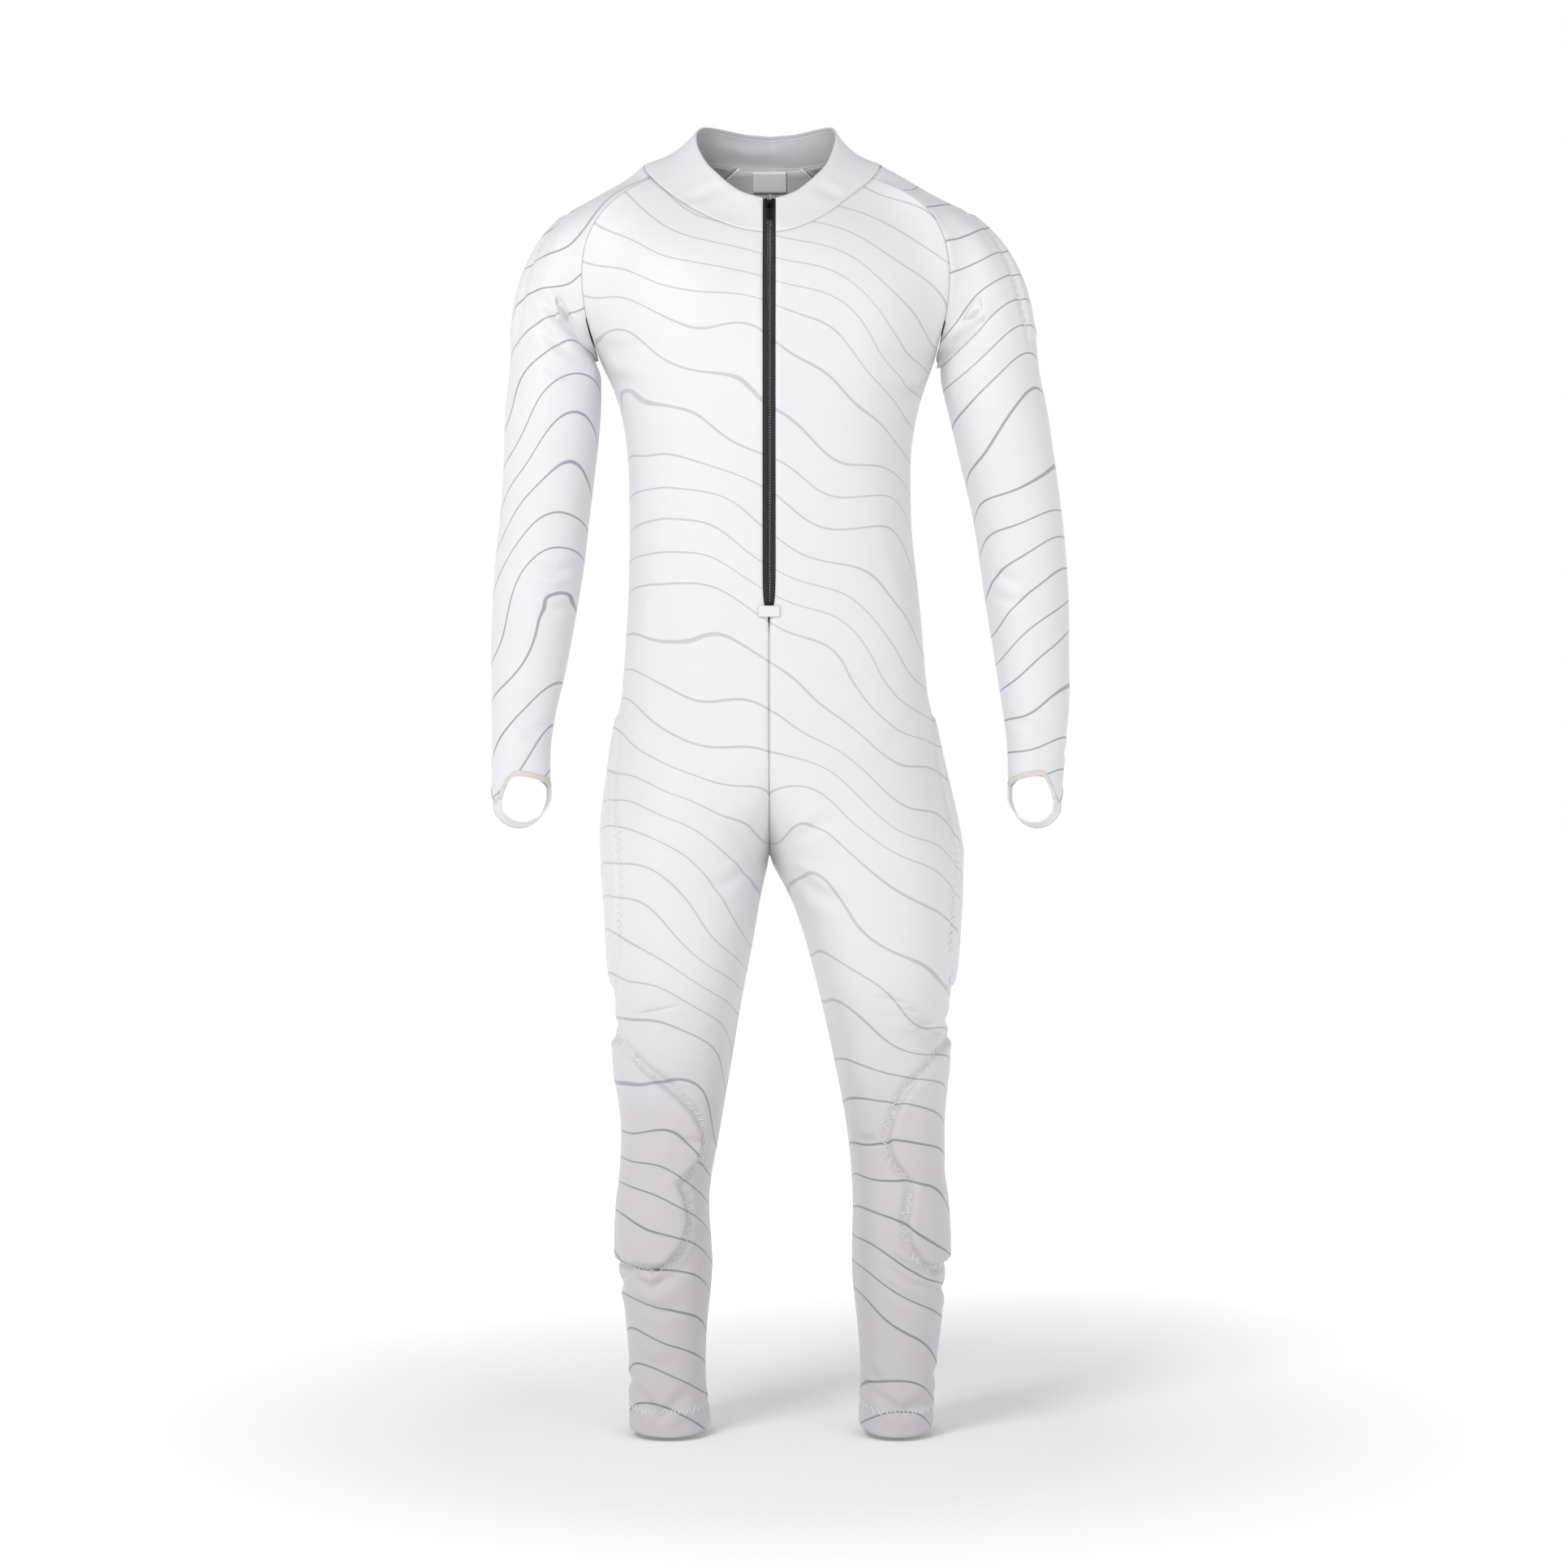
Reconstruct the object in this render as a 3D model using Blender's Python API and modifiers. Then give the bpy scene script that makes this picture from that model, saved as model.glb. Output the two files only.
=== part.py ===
# Race suit for ski racing: a one-piece suit of thick stretch knit, raglan cut, filled out
# as if worn, hollow and open at the neck, at the ankles and round the hands.
# Metres, +Z up. The front faces -Y. The origin is at the base of the wearer's neck.
# "right" and "left" are the wearer's: the right side lies at -X.
import bpy
import bmesh
import numpy as np
from math import cos, pi, radians, sin
from mathutils import Matrix

for old in list(bpy.data.objects):
    bpy.data.objects.remove(old, do_unlink=True)
suit = bpy.data.collections.new("race_suit")
cutters = bpy.data.collections.new("cutters")
bpy.context.scene.collection.children.link(suit)
bpy.context.scene.collection.children.link(cutters)

MM = 0.001
SIDES = {"right": -1.0, "left": 1.0}

# Driving sizes
WALL = 1.8 * MM               # shell cloth: stretch knit bonded to a brushed lining
SEAM_GAP = 0.3 * MM           # between two sewn pieces
CROTCH_Z = -760 * MM          # from the base of the neck down to the crotch
FORK_RISE = 130 * MM          # height over which the seat divides into two legs
ZIP_BOTTOM = -489 * MM
ZIP_HALF_OPENING = 7 * MM     # half the black strip that shows between the fronts
FRONT_DROOP = 10 * MM         # how much lower the leg hem hangs in front
SQUARENESS = 2.25             # exponent of the body's oval sections
LEG_DRIFT_TOP = -620 * MM     # the grid's lines turn from a body's to a leg's below here
LEG_DRIFT = 170 * MM

# Counts of grid cells
YOKE_ROWS = 7                 # armpit to collar
TOP_STEPS = 5                 # along the collar, over the shoulder
CAP_ROWS = 8                  # sleeve cap, collar to biceps
BACK_COLUMNS = 8
COLLAR_ROWS = 4
FRONT_COLUMNS = 11

# Body and leg sections in mm. Above the crotch the section is one oval for both sides and
# inner is 0. front, back and mid are depths: how far the section reaches to -Y and +Y, and
# where its widest point lies.
#  height, right outer, right inner, left outer, left inner, front, back, mid
BODY = [
    (-211, 189, 0, 184, 0, -118, 118, 5),
    (-261, 166, 0, 166, 0, -120, 118, 5),
    (-324, 158, 0, 157, 0, -113, 108, 3),
    (-396, 155, 0, 157, 0, -105, 96, 0),
    (-459, 156, 0, 165, 0, -101, 90, 0),
    (-531, 161, 0, 172, 0, -99, 92, 2),
    (-590, 165, 0, 177, 0, -98, 102, 6),
    (-648, 171, 0, 186, 0, -98, 118, 12),
    (-720, 182, 0, 204, 0, -98, 130, 14),
    (-760, 183, 0, 210, 0, -98, 128, 12),
    (-801, 180, 9, 209, 21, -100, 113, 5),
    (-846, 176, 16, 206, 37, -100, 97, 0),
    (-918, 171, 30, 199, 56, -92, 83, -4),
    (-990, 164, 42, 190, 72, -78, 71, -4),
    (-1066, 157, 55, 185, 86, -64, 61, 0),
    (-1143, 163, 67, 190, 92, -60, 66, 6),
    (-1215, 166, 63, 194, 91, -54, 74, 12),
    (-1287, 159, 70, 191, 98, -44, 66, 14),
    (-1341, 156, 71, 183, 101, -36, 60, 14),
    (-1388, 158, 65, 183, 98, -37, 62, 14),
]

# Where the grid's lines run round each side, as a share of the way from the centre front (or
# the inner leg) to the centre back. The edge lines follow the outlines of the hip and knee
# pads, and the side seam lies just behind them.
#  height, right front edge, right back edge, left front edge, left back edge, side seam
LINES = [
    (-211, 0.22, 0.42, 0.22, 0.42, 0.50),
    (-400, 0.25, 0.49, 0.25, 0.49, 0.56),
    (-530, 0.34, 0.54, 0.35, 0.55, 0.60),
    (-611, 0.44, 0.56, 0.46, 0.58, 0.62),
    (-670, 0.42, 0.58, 0.44, 0.60, 0.64),
    (-715, 0.385, 0.58, 0.43, 0.60, 0.64),
    (-760, 0.377, 0.58, 0.43, 0.60, 0.64),
    (-846, 0.40, 0.58, 0.42, 0.60, 0.64),
    (-909, 0.44, 0.56, 0.45, 0.58, 0.63),
    (-952, 0.43, 0.54, 0.455, 0.58, 0.63),
    (-967, 0.40, 0.55, 0.44, 0.59, 0.63),
    (-992, 0.33, 0.56, 0.36, 0.60, 0.64),
    (-1017, 0.24, 0.56, 0.28, 0.60, 0.64),
    (-1042, 0.18, 0.56, 0.245, 0.60, 0.64),
    (-1066, 0.137, 0.55, 0.225, 0.60, 0.64),
    (-1089, 0.14, 0.54, 0.235, 0.59, 0.64),
    (-1113, 0.215, 0.53, 0.30, 0.58, 0.64),
    (-1136, 0.175, 0.55, 0.28, 0.60, 0.64),
    (-1158, 0.165, 0.56, 0.265, 0.60, 0.64),
    (-1181, 0.19, 0.56, 0.275, 0.60, 0.64),
    (-1201, 0.235, 0.54, 0.32, 0.58, 0.63),
    (-1213, 0.28, 0.52, 0.35, 0.56, 0.62),
    (-1258, 0.25, 0.50, 0.28, 0.52, 0.60),
    (-1388, 0.22, 0.46, 0.24, 0.46, 0.56),
]

# Heights of the grid's rows below the armpit, in mm
ROW_HEIGHTS = [
    -211, -243, -279, -320, -360, -400, -441, -489, -497, -530, -565, -598, -611, -639,
    -670, -715, -742, -755, -760, -770, -788, -814, -846, -878, -896, -909, -920, -931, -942, -952,
    -967, -992, -1017, -1042, -1066, -1089, -1113, -1136, -1158, -1181, -1201, -1213,
    -1233, -1258, -1287, -1318, -1346, -1370, -1388,
]

# Front raglan seam, armpit to collar. Widths for each side, then depth and height, in mm.
#  right width, left width, depth, height
FRONT_RAGLAN = [
    (189, 184, 5, -211),
    (197, 189, -18, -190),
    (203, 195, -38, -168),
    (206, 199, -52, -137),
    (207, 199, -58, -113),
    (204, 196, -60, -89),
    (196, 189, -60, -73),
    (181, 176, -56, -49),
    (160, 150, -46, -30),
    (131, 115, -22, -12),
]
BACK_RAGLAN = [
    (189, 184, 5, -211),
    (199, 192, 34, -186),
    (200, 194, 62, -155),
    (186, 180, 86, -115),
    (151, 146, 101, -70),
    (101, 99, 102, -32),
    (60, 60, 94, -2),
    (37, 37, 83, 18),
]

# Collar, front to centre back: the seam round its base and its top edge, in mm
#  right width, left width, depth, height
COLLAR_BASE = [
    (7, 7, -84, -82),
    (34, 30, -81, -77),
    (72, 62, -68, -60),
    (107, 90, -44, -35),
    (131, 115, -22, -12),
    (145, 127, 3, 8),
    (124, 113, 36, 18),
    (85, 80, 62, 22),
    (37, 37, 83, 18),
    (0, 0, 88, 18),
]
COLLAR_TOP = [
    (7, 7, -62, -41),
    (26, 24, -57, -35),
    (43, 39, -48, -24),
    (58, 54, -36, -9),
    (71, 65, -22, 6),
    (82, 73, 0, 28),
    (84, 76, 22, 49),
    (70, 66, 50, 60),
    (33, 33, 74, 56),
    (0, 0, 80, 54),
]
FRONT_CORNER = 4              # row of the collar tables where the front raglan seam ends
BACK_CORNER = 8               # row where the back raglan seam ends
COLLAR_BOW = 4 * MM           # how far the stand bows in; it is straight beside the zip

# Centre front and centre back above the armpit, in mm
#  height, depth
CENTRE_FRONT = [(-211, -118), (-165, -114), (-122, -102), (-82, -84)]
CENTRE_BACK = [(-211, 118), (-140, 119), (-70, 111), (-20, 100), (18, 88)]

# Sleeve sections below the cap, in mm
#  height, right inner, right outer, left inner, left outer, mid depth, half depth
ARM = [
    (-234, 186, 295, 189, 304, 6, 57),
    (-261, 186, 295, 196, 309, 7, 57),
    (-315, 191, 296, 209, 317, 10, 55),
    (-387, 200, 301, 226, 327, 14, 52),
    (-441, 206, 307, 234, 332, 14, 50),
    (-495, 215, 309, 242, 334, 10, 47),
    (-531, 221, 310, 248, 333, 4, 43),
    (-576, 230, 308, 254, 333, -6, 37),
    (-621, 239, 307, 260, 329, -16, 31),
    (-648, 241, 306, 262, 326, -21, 29),
    (-671, 241, 306, 262, 324, -24, 28),
    (-689, 240, 308, 262, 324, -26, 28),
    (-703, 240, 304, 262, 321, -26, 28),
]
ARM_ROWS = [-234, -261, -290, -320, -352, -385, -405, -420, -445, -470, -495, -520, -545,
            -568, -583, -604, -628, -648]
CUFF_ROWS = 2                 # from the last of those to the edge round the hand

# Lower edge of the sleeve: arched over the palm and the back of the hand, longer where the
# strap of the hand loop is sewn on.
#  share of the way round, height in mm
CUFF_EDGE = [
    (0.00, -683), (0.10, -677), (0.25, -671), (0.316, -674), (0.368, -700), (0.421, -703),
    (0.474, -702), (0.526, -686), (0.58, -678), (0.75, -671), (0.88, -678), (0.947, -687),
    (1.00, -683),
]
STRAP_START = 0.421           # share of the way round the wrist where the strap begins
STRAP_END = 0.947
STRAP_WIDTH = 18 * MM
STRAP_DROP = 0.45 * MM        # its ends lie this far below the sleeve's edge
STRAP_SEGMENTS = 18

# Foam pads under the shell. Rows and columns are grid lines of the piece that covers the pad:
# the shell stands away from the body between them.
HIP_FIRST = 6                 # line at the hip pad's front edge
KNEE_FIRST = 4                # line at the knee pad's front edge
PAD_LAST = 10                 # line at the back edge of both
HIP_BOTTOM = -909
KNEE_TOP = -952
PAD_SLOPE = 0.022             # share of the way round over which a pad's edge rises
#  name, lift in mm, first line, last line, top row, bottom row
BODY_PADS = [
    ("hip_pad", 8.0, HIP_FIRST, PAD_LAST, -598, HIP_BOTTOM),
    ("knee_pad", 8.0, KNEE_FIRST, PAD_LAST, KNEE_TOP, -1213),
]
SHOULDER_PAD = (7.0, 7, 12, 3, 8)
FOREARM_PAD = (6.0, {"right": 12, "left": 11}, 18, -405, -583)
RIM_SHARE = 0.72              # a pad is thinner in the first row or column inside its edge
LOBE_WAIST_Z = -1113 * MM     # the knee pad's two lobes meet here
LOBE_WAIST_SHARE = 0.55


def curve(table, at, column, key=0):
    """Smooth value of one column of a table at a height or other key, in the table's units."""
    xs = np.array([row[key] for row in table], float)
    ys = np.array([row[column] for row in table], float)
    if xs[0] > xs[-1]:
        xs, ys = xs[::-1], ys[::-1]
    at = float(np.clip(at, xs[0], xs[-1]))
    i = int(np.clip(np.searchsorted(xs, at) - 1, 0, len(xs) - 2))
    step = np.diff(xs)
    slope = np.diff(ys) / step

    def tangent(k):
        if k == 0:
            return slope[0]
        if k == len(xs) - 1:
            return slope[-1]
        if slope[k - 1] * slope[k] <= 0:
            return 0.0
        share = step[k] / (step[k - 1] + step[k])
        return slope[k - 1] * share + slope[k] * (1 - share)

    h = step[i]
    t = (at - xs[i]) / h
    return ((2 * t**3 - 3 * t**2 + 1) * ys[i] + (t**3 - 2 * t**2 + t) * h * tangent(i)
            + (3 * t**2 - 2 * t**3) * ys[i + 1] + (t**3 - t**2) * h * tangent(i + 1))


def polyline(points, shares):
    """Points of a smooth curve through a few points, at shares of its length."""
    points = np.asarray(points, float)
    fine = []
    for k in range(len(points) - 1):
        before = points[max(k - 1, 0)]
        after = points[min(k + 2, len(points) - 1)]
        m0 = (points[k + 1] - before) / 2
        m1 = (after - points[k]) / 2
        for t in np.linspace(0, 1, 24, endpoint=k == len(points) - 2):
            fine.append((2 * t**3 - 3 * t**2 + 1) * points[k] + (t**3 - 2 * t**2 + t) * m0
                        + (3 * t**2 - 2 * t**3) * points[k + 1] + (t**3 - t**2) * m1)
    fine = np.array(fine)
    length = np.concatenate([[0], np.cumsum(np.linalg.norm(np.diff(fine, axis=0), axis=1))])
    length /= length[-1]
    return np.array([[np.interp(s, length, fine[:, k]) for k in range(3)] for s in shares])


def placed(table, side):
    """The rows of a (right width, left width, depth, height) table as points in metres."""
    width = 0 if side == "right" else 1
    return [np.array([SIDES[side] * row[width], row[2], row[3]]) * MM for row in table]


def power(value, exponent):
    return np.sign(value) * abs(value) ** exponent


def ring_angle(z, start, share):
    """Angle round a section. The grid's lines drift slowly from half a body to a whole leg,
    and only those near the middle close up over the fork."""
    if share > 0.5:
        return 2 * pi - ring_angle(z, start, 1 - share)
    drift = np.clip((LEG_DRIFT_TOP - z) / LEG_DRIFT, 0, 1)
    drift = drift * drift * (3 - 2 * drift)
    plain = (1 - drift) * (pi / 2 + pi * share) + drift * 2 * pi * share
    middle = (1 - drift) * pi / 2
    near = 1 - min(share / 0.33, 1)
    return plain + (start - middle) * near**2


def body_point(side, z, share):
    """A point of the body or leg surface, at a height and a share of the way round."""
    mm = z / MM
    column = 1 if side == "right" else 3
    outer = curve(BODY, mm, column) * MM
    front = curve(BODY, mm, 5) * MM
    back = curve(BODY, mm, 6) * MM
    mid = curve(BODY, mm, 7) * MM
    rise = z - CROTCH_Z
    if rise >= 0:
        fork = min(1.0, max(0.0, 1 - rise / FORK_RISE))
        fork = fork * fork * (3 - 2 * fork)
        half = outer / (1 + fork)
        centre = outer - half
        start = np.arccos(min(1.0, fork ** (SQUARENESS / 2)))
    else:
        inner = curve(BODY, mm, column + 1) * MM
        half = (outer - inner) / 2
        centre = (outer + inner) / 2
        start = 0.0
    angle = ring_angle(z, start, share)
    x = centre - half * power(cos(angle), 2 / SQUARENESS)
    reach = (mid - front) if sin(angle) >= 0 else (back - mid)
    y = mid - reach * power(sin(angle), 2 / SQUARENESS)
    x = max(x, 0.0)
    return np.array([SIDES[side] * x, y, z])


def line_shares(side, z):
    """Shares of the way round for the front panel's columns, and the side seam's."""
    mm = z / MM
    column = 1 if side == "right" else 3
    edge = curve(LINES, mm, column)
    end = curve(LINES, mm, column + 1)
    seam = curve(LINES, mm, 5)
    at_hip, at_knee = [
        np.concatenate([np.linspace(0, edge, first + 1),
                        np.linspace(edge + PAD_SLOPE, end - PAD_SLOPE, PAD_LAST - first - 1),
                        [end, seam]])
        for first in (HIP_FIRST, KNEE_FIRST)]
    share = np.clip((HIP_BOTTOM - mm) / (HIP_BOTTOM - KNEE_TOP), 0, 1)
    return at_hip * (1 - share) + at_knee * share


def droop(z, y, mid):
    """The hem hangs lower in front: only the last rows move."""
    share = np.clip((-1.318 - z) / 0.070, 0, 1)
    return z + share * FRONT_DROOP * np.clip((y - mid) / 0.05, -1, 0.4)


def lower_grids(side):
    """Front and back panel points from the armpit down to the hem."""
    front, back = [], []
    for height in ROW_HEIGHTS:
        z = height * MM
        shares = line_shares(side, z)
        front_row = [body_point(side, z, s) for s in shares]
        back_row = [body_point(side, z, s) for s in np.linspace(shares[-1], 1, BACK_COLUMNS + 1)]
        if z >= ZIP_BOTTOM - 1e-6:
            front_row[0][0] = SIDES[side] * ZIP_HALF_OPENING
        mid = curve(BODY, height, 7) * MM
        for point in front_row + back_row:
            point[2] = droop(point[2], point[1], mid)
        front.append(front_row)
        back.append(back_row)
    return np.array(front), np.array(back)


def patch(bottom, top, start, end):
    """Surface between four edges that share their corners: rows run from bottom to top."""
    rows, columns = len(start), len(bottom)
    u = np.linspace(0, 1, columns)[None, :, None]
    v = np.linspace(0, 1, rows)[:, None, None]
    sides = (1 - u) * start[:, None, :] + u * end[:, None, :]
    ends = (1 - v) * bottom[None, :, :] + v * top[None, :, :]
    corners = ((1 - u) * (1 - v) * bottom[0] + u * (1 - v) * bottom[-1]
               + (1 - u) * v * top[0] + u * v * top[-1])
    return sides + ends - corners


def relax(grid, weight, rounds):
    """Even out a grid's inner points; weight says how far each row may move."""
    for _ in range(rounds):
        mean = (grid[:-2, 1:-1] + grid[2:, 1:-1] + grid[1:-1, :-2] + grid[1:-1, 2:]) / 4
        grid[1:-1, 1:-1] += weight[1:-1, None, None] * (mean - grid[1:-1, 1:-1])
    return grid


def collar_stops(side):
    """Shares of the collar's base seam where the panels' and the sleeve's columns end."""
    points = polyline(placed(COLLAR_BASE, side), np.linspace(0, 1, 400))
    table = placed(COLLAR_BASE, side)
    front = np.argmin(np.linalg.norm(points - table[FRONT_CORNER], axis=1)) / 399
    back = np.argmin(np.linalg.norm(points - table[BACK_CORNER], axis=1)) / 399
    return (np.linspace(0, front, FRONT_COLUMNS + 1), np.linspace(front, back, TOP_STEPS + 1),
            np.linspace(back, 1, BACK_COLUMNS + 1))


def build_side(side):
    """Base grids of one side: front, back and sleeve, with shared points at the seams."""
    front, back = lower_grids(side)
    front_stops, top_stops, back_stops = collar_stops(side)
    base = placed(COLLAR_BASE, side)
    front_top = polyline(base, front_stops)
    over_shoulder = polyline(base, top_stops)
    back_top = polyline(base, back_stops)
    steps = np.linspace(0, 1, YOKE_ROWS + 1)

    seam_front = polyline([front[0, -1]] + placed(FRONT_RAGLAN, side)[1:-1] + [front_top[-1]],
                          steps)
    seam_back = polyline([back[0, 0]] + placed(BACK_RAGLAN, side)[1:-1] + [back_top[0]], steps)
    top_z, low_z = CENTRE_FRONT[-1][0], CENTRE_FRONT[0][0]
    centre = [[SIDES[side] * ZIP_HALF_OPENING, curve(CENTRE_FRONT, z, 1) * MM, z * MM]
              for z in np.linspace(low_z, top_z, 6)]
    centre = polyline([front[0, 0]] + centre[1:-1] + [front_top[0]], steps)
    spine = [[0, curve(CENTRE_BACK, z, 1) * MM, z * MM] for z in np.linspace(-211, 18, 6)]
    spine = polyline([back[0, -1]] + spine[1:-1] + [back_top[-1]], steps)

    yoke_front = patch(front[0], front_top, centre, seam_front)[::-1]
    yoke_back = patch(back[0], back_top, seam_back, spine)[::-1]
    front = np.concatenate([yoke_front[:-1], front])
    back = np.concatenate([yoke_back[:-1], back])
    reach = np.arange(len(front))
    weight = 0.5 * np.clip(1 - (reach - YOKE_ROWS - 1) / 3.0, 0, 1)
    front = relax(front, weight, 14)
    back = relax(back, weight, 14)

    loop = np.concatenate([seam_front[:-1], over_shoulder[:-1], seam_back[::-1]])
    rows = slice(0, YOKE_ROWS + 1)
    from_front = (front[rows, -1] - front[rows, -2])[::-1]
    from_back = back[rows, 0] - back[rows, 1]
    over = np.zeros((TOP_STEPS, 3))
    carry = np.concatenate([from_front[:-1], over, from_back])
    return front, back, sleeve_grid(side, loop, carry)


def arm_point(side, z, share):
    mm = z / MM
    column = 1 if side == "right" else 3
    inner = curve(ARM, mm, column) * MM
    outer = curve(ARM, mm, column + 1) * MM
    mid = curve(ARM, mm, 5) * MM
    half = curve(ARM, mm, 6) * MM
    angle = 2 * pi * share
    x = (inner + outer) / 2 - (outer - inner) / 2 * cos(angle)
    return np.array([SIDES[side] * x, mid - half * sin(angle), z])


def sleeve_grid(side, loop, carry):
    """Sleeve points, from the armhole loop over the cap and down to the hand. The cap leaves
    the raglan seams in the way that the panels beside it reach them, which is carry."""
    columns = len(loop) - 1
    shares = np.arange(columns + 1) / columns
    ring = np.array([arm_point(side, ARM_ROWS[0] * MM, s) for s in shares])
    rows = []
    along = np.roll(loop[:-1], -1, axis=0) - np.roll(loop[:-1], 1, axis=0)
    along = np.concatenate([along, along[:1]])
    for v in np.linspace(0, 1, CAP_ROWS + 1)[:-1]:
        row = []
        for start, end, share, seam, way in zip(loop, ring, shares, along, carry):
            low = abs(2 * share - 1)
            tilt = radians(20 + 70 * low**2.2)
            handle = 0.54 * np.linalg.norm(end - start)
            over = np.array([SIDES[side] * cos(tilt), 0, -sin(tilt)])
            square = way - np.dot(way, seam) / np.dot(seam, seam) * seam
            square /= max(np.linalg.norm(square), 1e-9)
            turn = min(1.0, 1.7 * low) * np.clip((0.95 - low) / 0.30, 0, 1)
            leave = over * (1 - turn) + square * turn
            leave /= np.linalg.norm(leave)
            p1 = start + handle * leave
            p2 = end + handle * np.array([0, 0, 1])
            row.append((1 - v)**3 * start + 3 * v * (1 - v)**2 * p1
                       + 3 * v**2 * (1 - v) * p2 + v**3 * end)
        rows.append(row)
    for height in ARM_ROWS:
        rows.append([arm_point(side, height * MM, s) for s in shares])
    edge = [curve(CUFF_EDGE, s, 1) * MM for s in shares]
    last = ARM_ROWS[-1] * MM
    for k in range(1, CUFF_ROWS + 1):
        rows.append([arm_point(side, last + (e - last) * k / CUFF_ROWS, s)
                     for s, e in zip(shares, edge)])
    grid = np.array(rows)
    ease = 0.5 * np.clip((0.85 - abs(2 * shares - 1)) / 0.35, 0, 1)[None, :, None]
    for _ in range(10):
        wrapped = np.concatenate([grid[:, -2:-1], grid, grid[:, 1:2]], axis=1)
        mean = (wrapped[:-2, 1:-1] + wrapped[2:, 1:-1] + wrapped[1:-1, :-2]
                + wrapped[1:-1, 2:]) / 4
        grid[1:CAP_ROWS + 1] += ease * (mean - grid[1:-1])[:CAP_ROWS]
    return grid


def collar_grid():
    """The collar's points: one strip from the right front, round the neck, to the left."""
    strips = []
    for side in SIDES:
        stops = collar_stops(side)
        shares = np.concatenate([stops[0], stops[1][1:], stops[2][1:]])
        bow = COLLAR_BOW * np.clip(shares / 0.10, 0, 1)
        low = polyline(placed(COLLAR_BASE, side), shares)
        top = placed(COLLAR_TOP, side)
        base = placed(COLLAR_BASE, side)
        fine = polyline(base, np.linspace(0, 1, 400))
        marks = [np.argmin(np.linalg.norm(fine - p, axis=1)) / 399 for p in base]
        knots = np.array([[m, *p] for m, p in zip(marks, top)])
        high = np.array([[curve(knots, s, k) for k in (1, 2, 3)] for s in shares])
        rows = []
        for v in np.linspace(0, 1, COLLAR_ROWS + 1):
            out = low + (high - low) * v
            out[:, 2] -= bow * sin(pi * v)
            rows.append(out)
        strips.append(np.array(rows))
    return np.concatenate([strips[0], strips[1][:, ::-1][:, 1:]], axis=1)


def face_normals(grid, sign):
    """Normals at a grid's points, from the cells round them."""
    normal = np.zeros_like(grid)
    a, b = grid[:-1, :-1], grid[:-1, 1:]
    c, d = grid[1:, 1:], grid[1:, :-1]
    cell = np.cross(c - a, d - b) * sign
    for rows in (slice(0, -1), slice(1, None)):
        for columns in (slice(0, -1), slice(1, None)):
            normal[rows, columns] += cell
    return normal


def shared_normals(grids):
    """Unit normals for every grid, the same on both sides of each seam."""
    sums = {}
    keys = {}
    for name, (grid, sign) in grids.items():
        normal = face_normals(grid, sign)
        keys[name] = [[tuple(np.round(p / 2e-5).astype(int)) for p in row] for row in grid]
        for row_keys, row in zip(keys[name], normal):
            for key, value in zip(row_keys, row):
                size = np.linalg.norm(value)
                if size > 0:
                    sums[key] = sums.get(key, 0) + value / size
    for side in SIDES:
        armpit = keys["front_" + side][YOKE_ROWS][-1]
        sums[armpit] = np.array([0.0, 0.0, -1.0])
    result = {}
    for name, rows in keys.items():
        result[name] = np.array([[sums[key] / np.linalg.norm(sums[key]) for key in row]
                                 for row in rows])
    return result


def inset(grid, closed):
    """Draw a grid's edges in by half the seam gap, square to each edge."""
    out = grid.copy()

    def shift(edge, inner, target):
        along = np.gradient(edge, axis=0)
        along /= np.maximum(np.linalg.norm(along, axis=1, keepdims=True), 1e-9)
        way = inner - edge
        way -= (way * along).sum(axis=1, keepdims=True) * along
        size = np.linalg.norm(way, axis=1, keepdims=True)
        target += way / np.maximum(size, 1e-9) * SEAM_GAP / 2

    shift(grid[0], grid[1], out[0])
    shift(grid[-1], grid[-2], out[-1])
    if not closed:
        shift(grid[:, 0], grid[:, 1], out[:, 0])
        shift(grid[:, -1], grid[:, -2], out[:, -1])
    return out


def pad_lift(shape, rows, columns, lift, waist=()):
    """How far a shell stands off at each of its points: 0 on the pad's outline and beyond."""
    field = np.zeros(shape)
    for i in range(rows[0] + 1, rows[1]):
        for j in range(columns[0] + 1, columns[1]):
            amount = lift
            if i in (rows[0] + 1, rows[1] - 1):
                amount *= RIM_SHARE
            if j in (columns[0] + 1, columns[1] - 1):
                amount *= RIM_SHARE
            if i in waist:
                amount *= LOBE_WAIST_SHARE
            field[i, j] = amount
    return field


def block(array, rows, columns):
    """The part of a grid inside a pad's outline."""
    return array[rows[0] + 1:rows[1], columns[0] + 1:columns[1]]


def material(name, colour, roughness, metallic=0.0):
    made = bpy.data.materials.new(name)
    made.use_nodes = True
    shader = made.node_tree.nodes["Principled BSDF"]
    shader.inputs["Base Color"].default_value = (*colour, 1)
    shader.inputs["Roughness"].default_value = roughness
    shader.inputs["Metallic"].default_value = metallic
    return made


def add_object(name, mesh, finish):
    made = bpy.data.objects.new(name, mesh)
    suit.objects.link(made)
    if mesh.materials:
        mesh.materials.clear()
    mesh.materials.append(finish)
    return made


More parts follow.
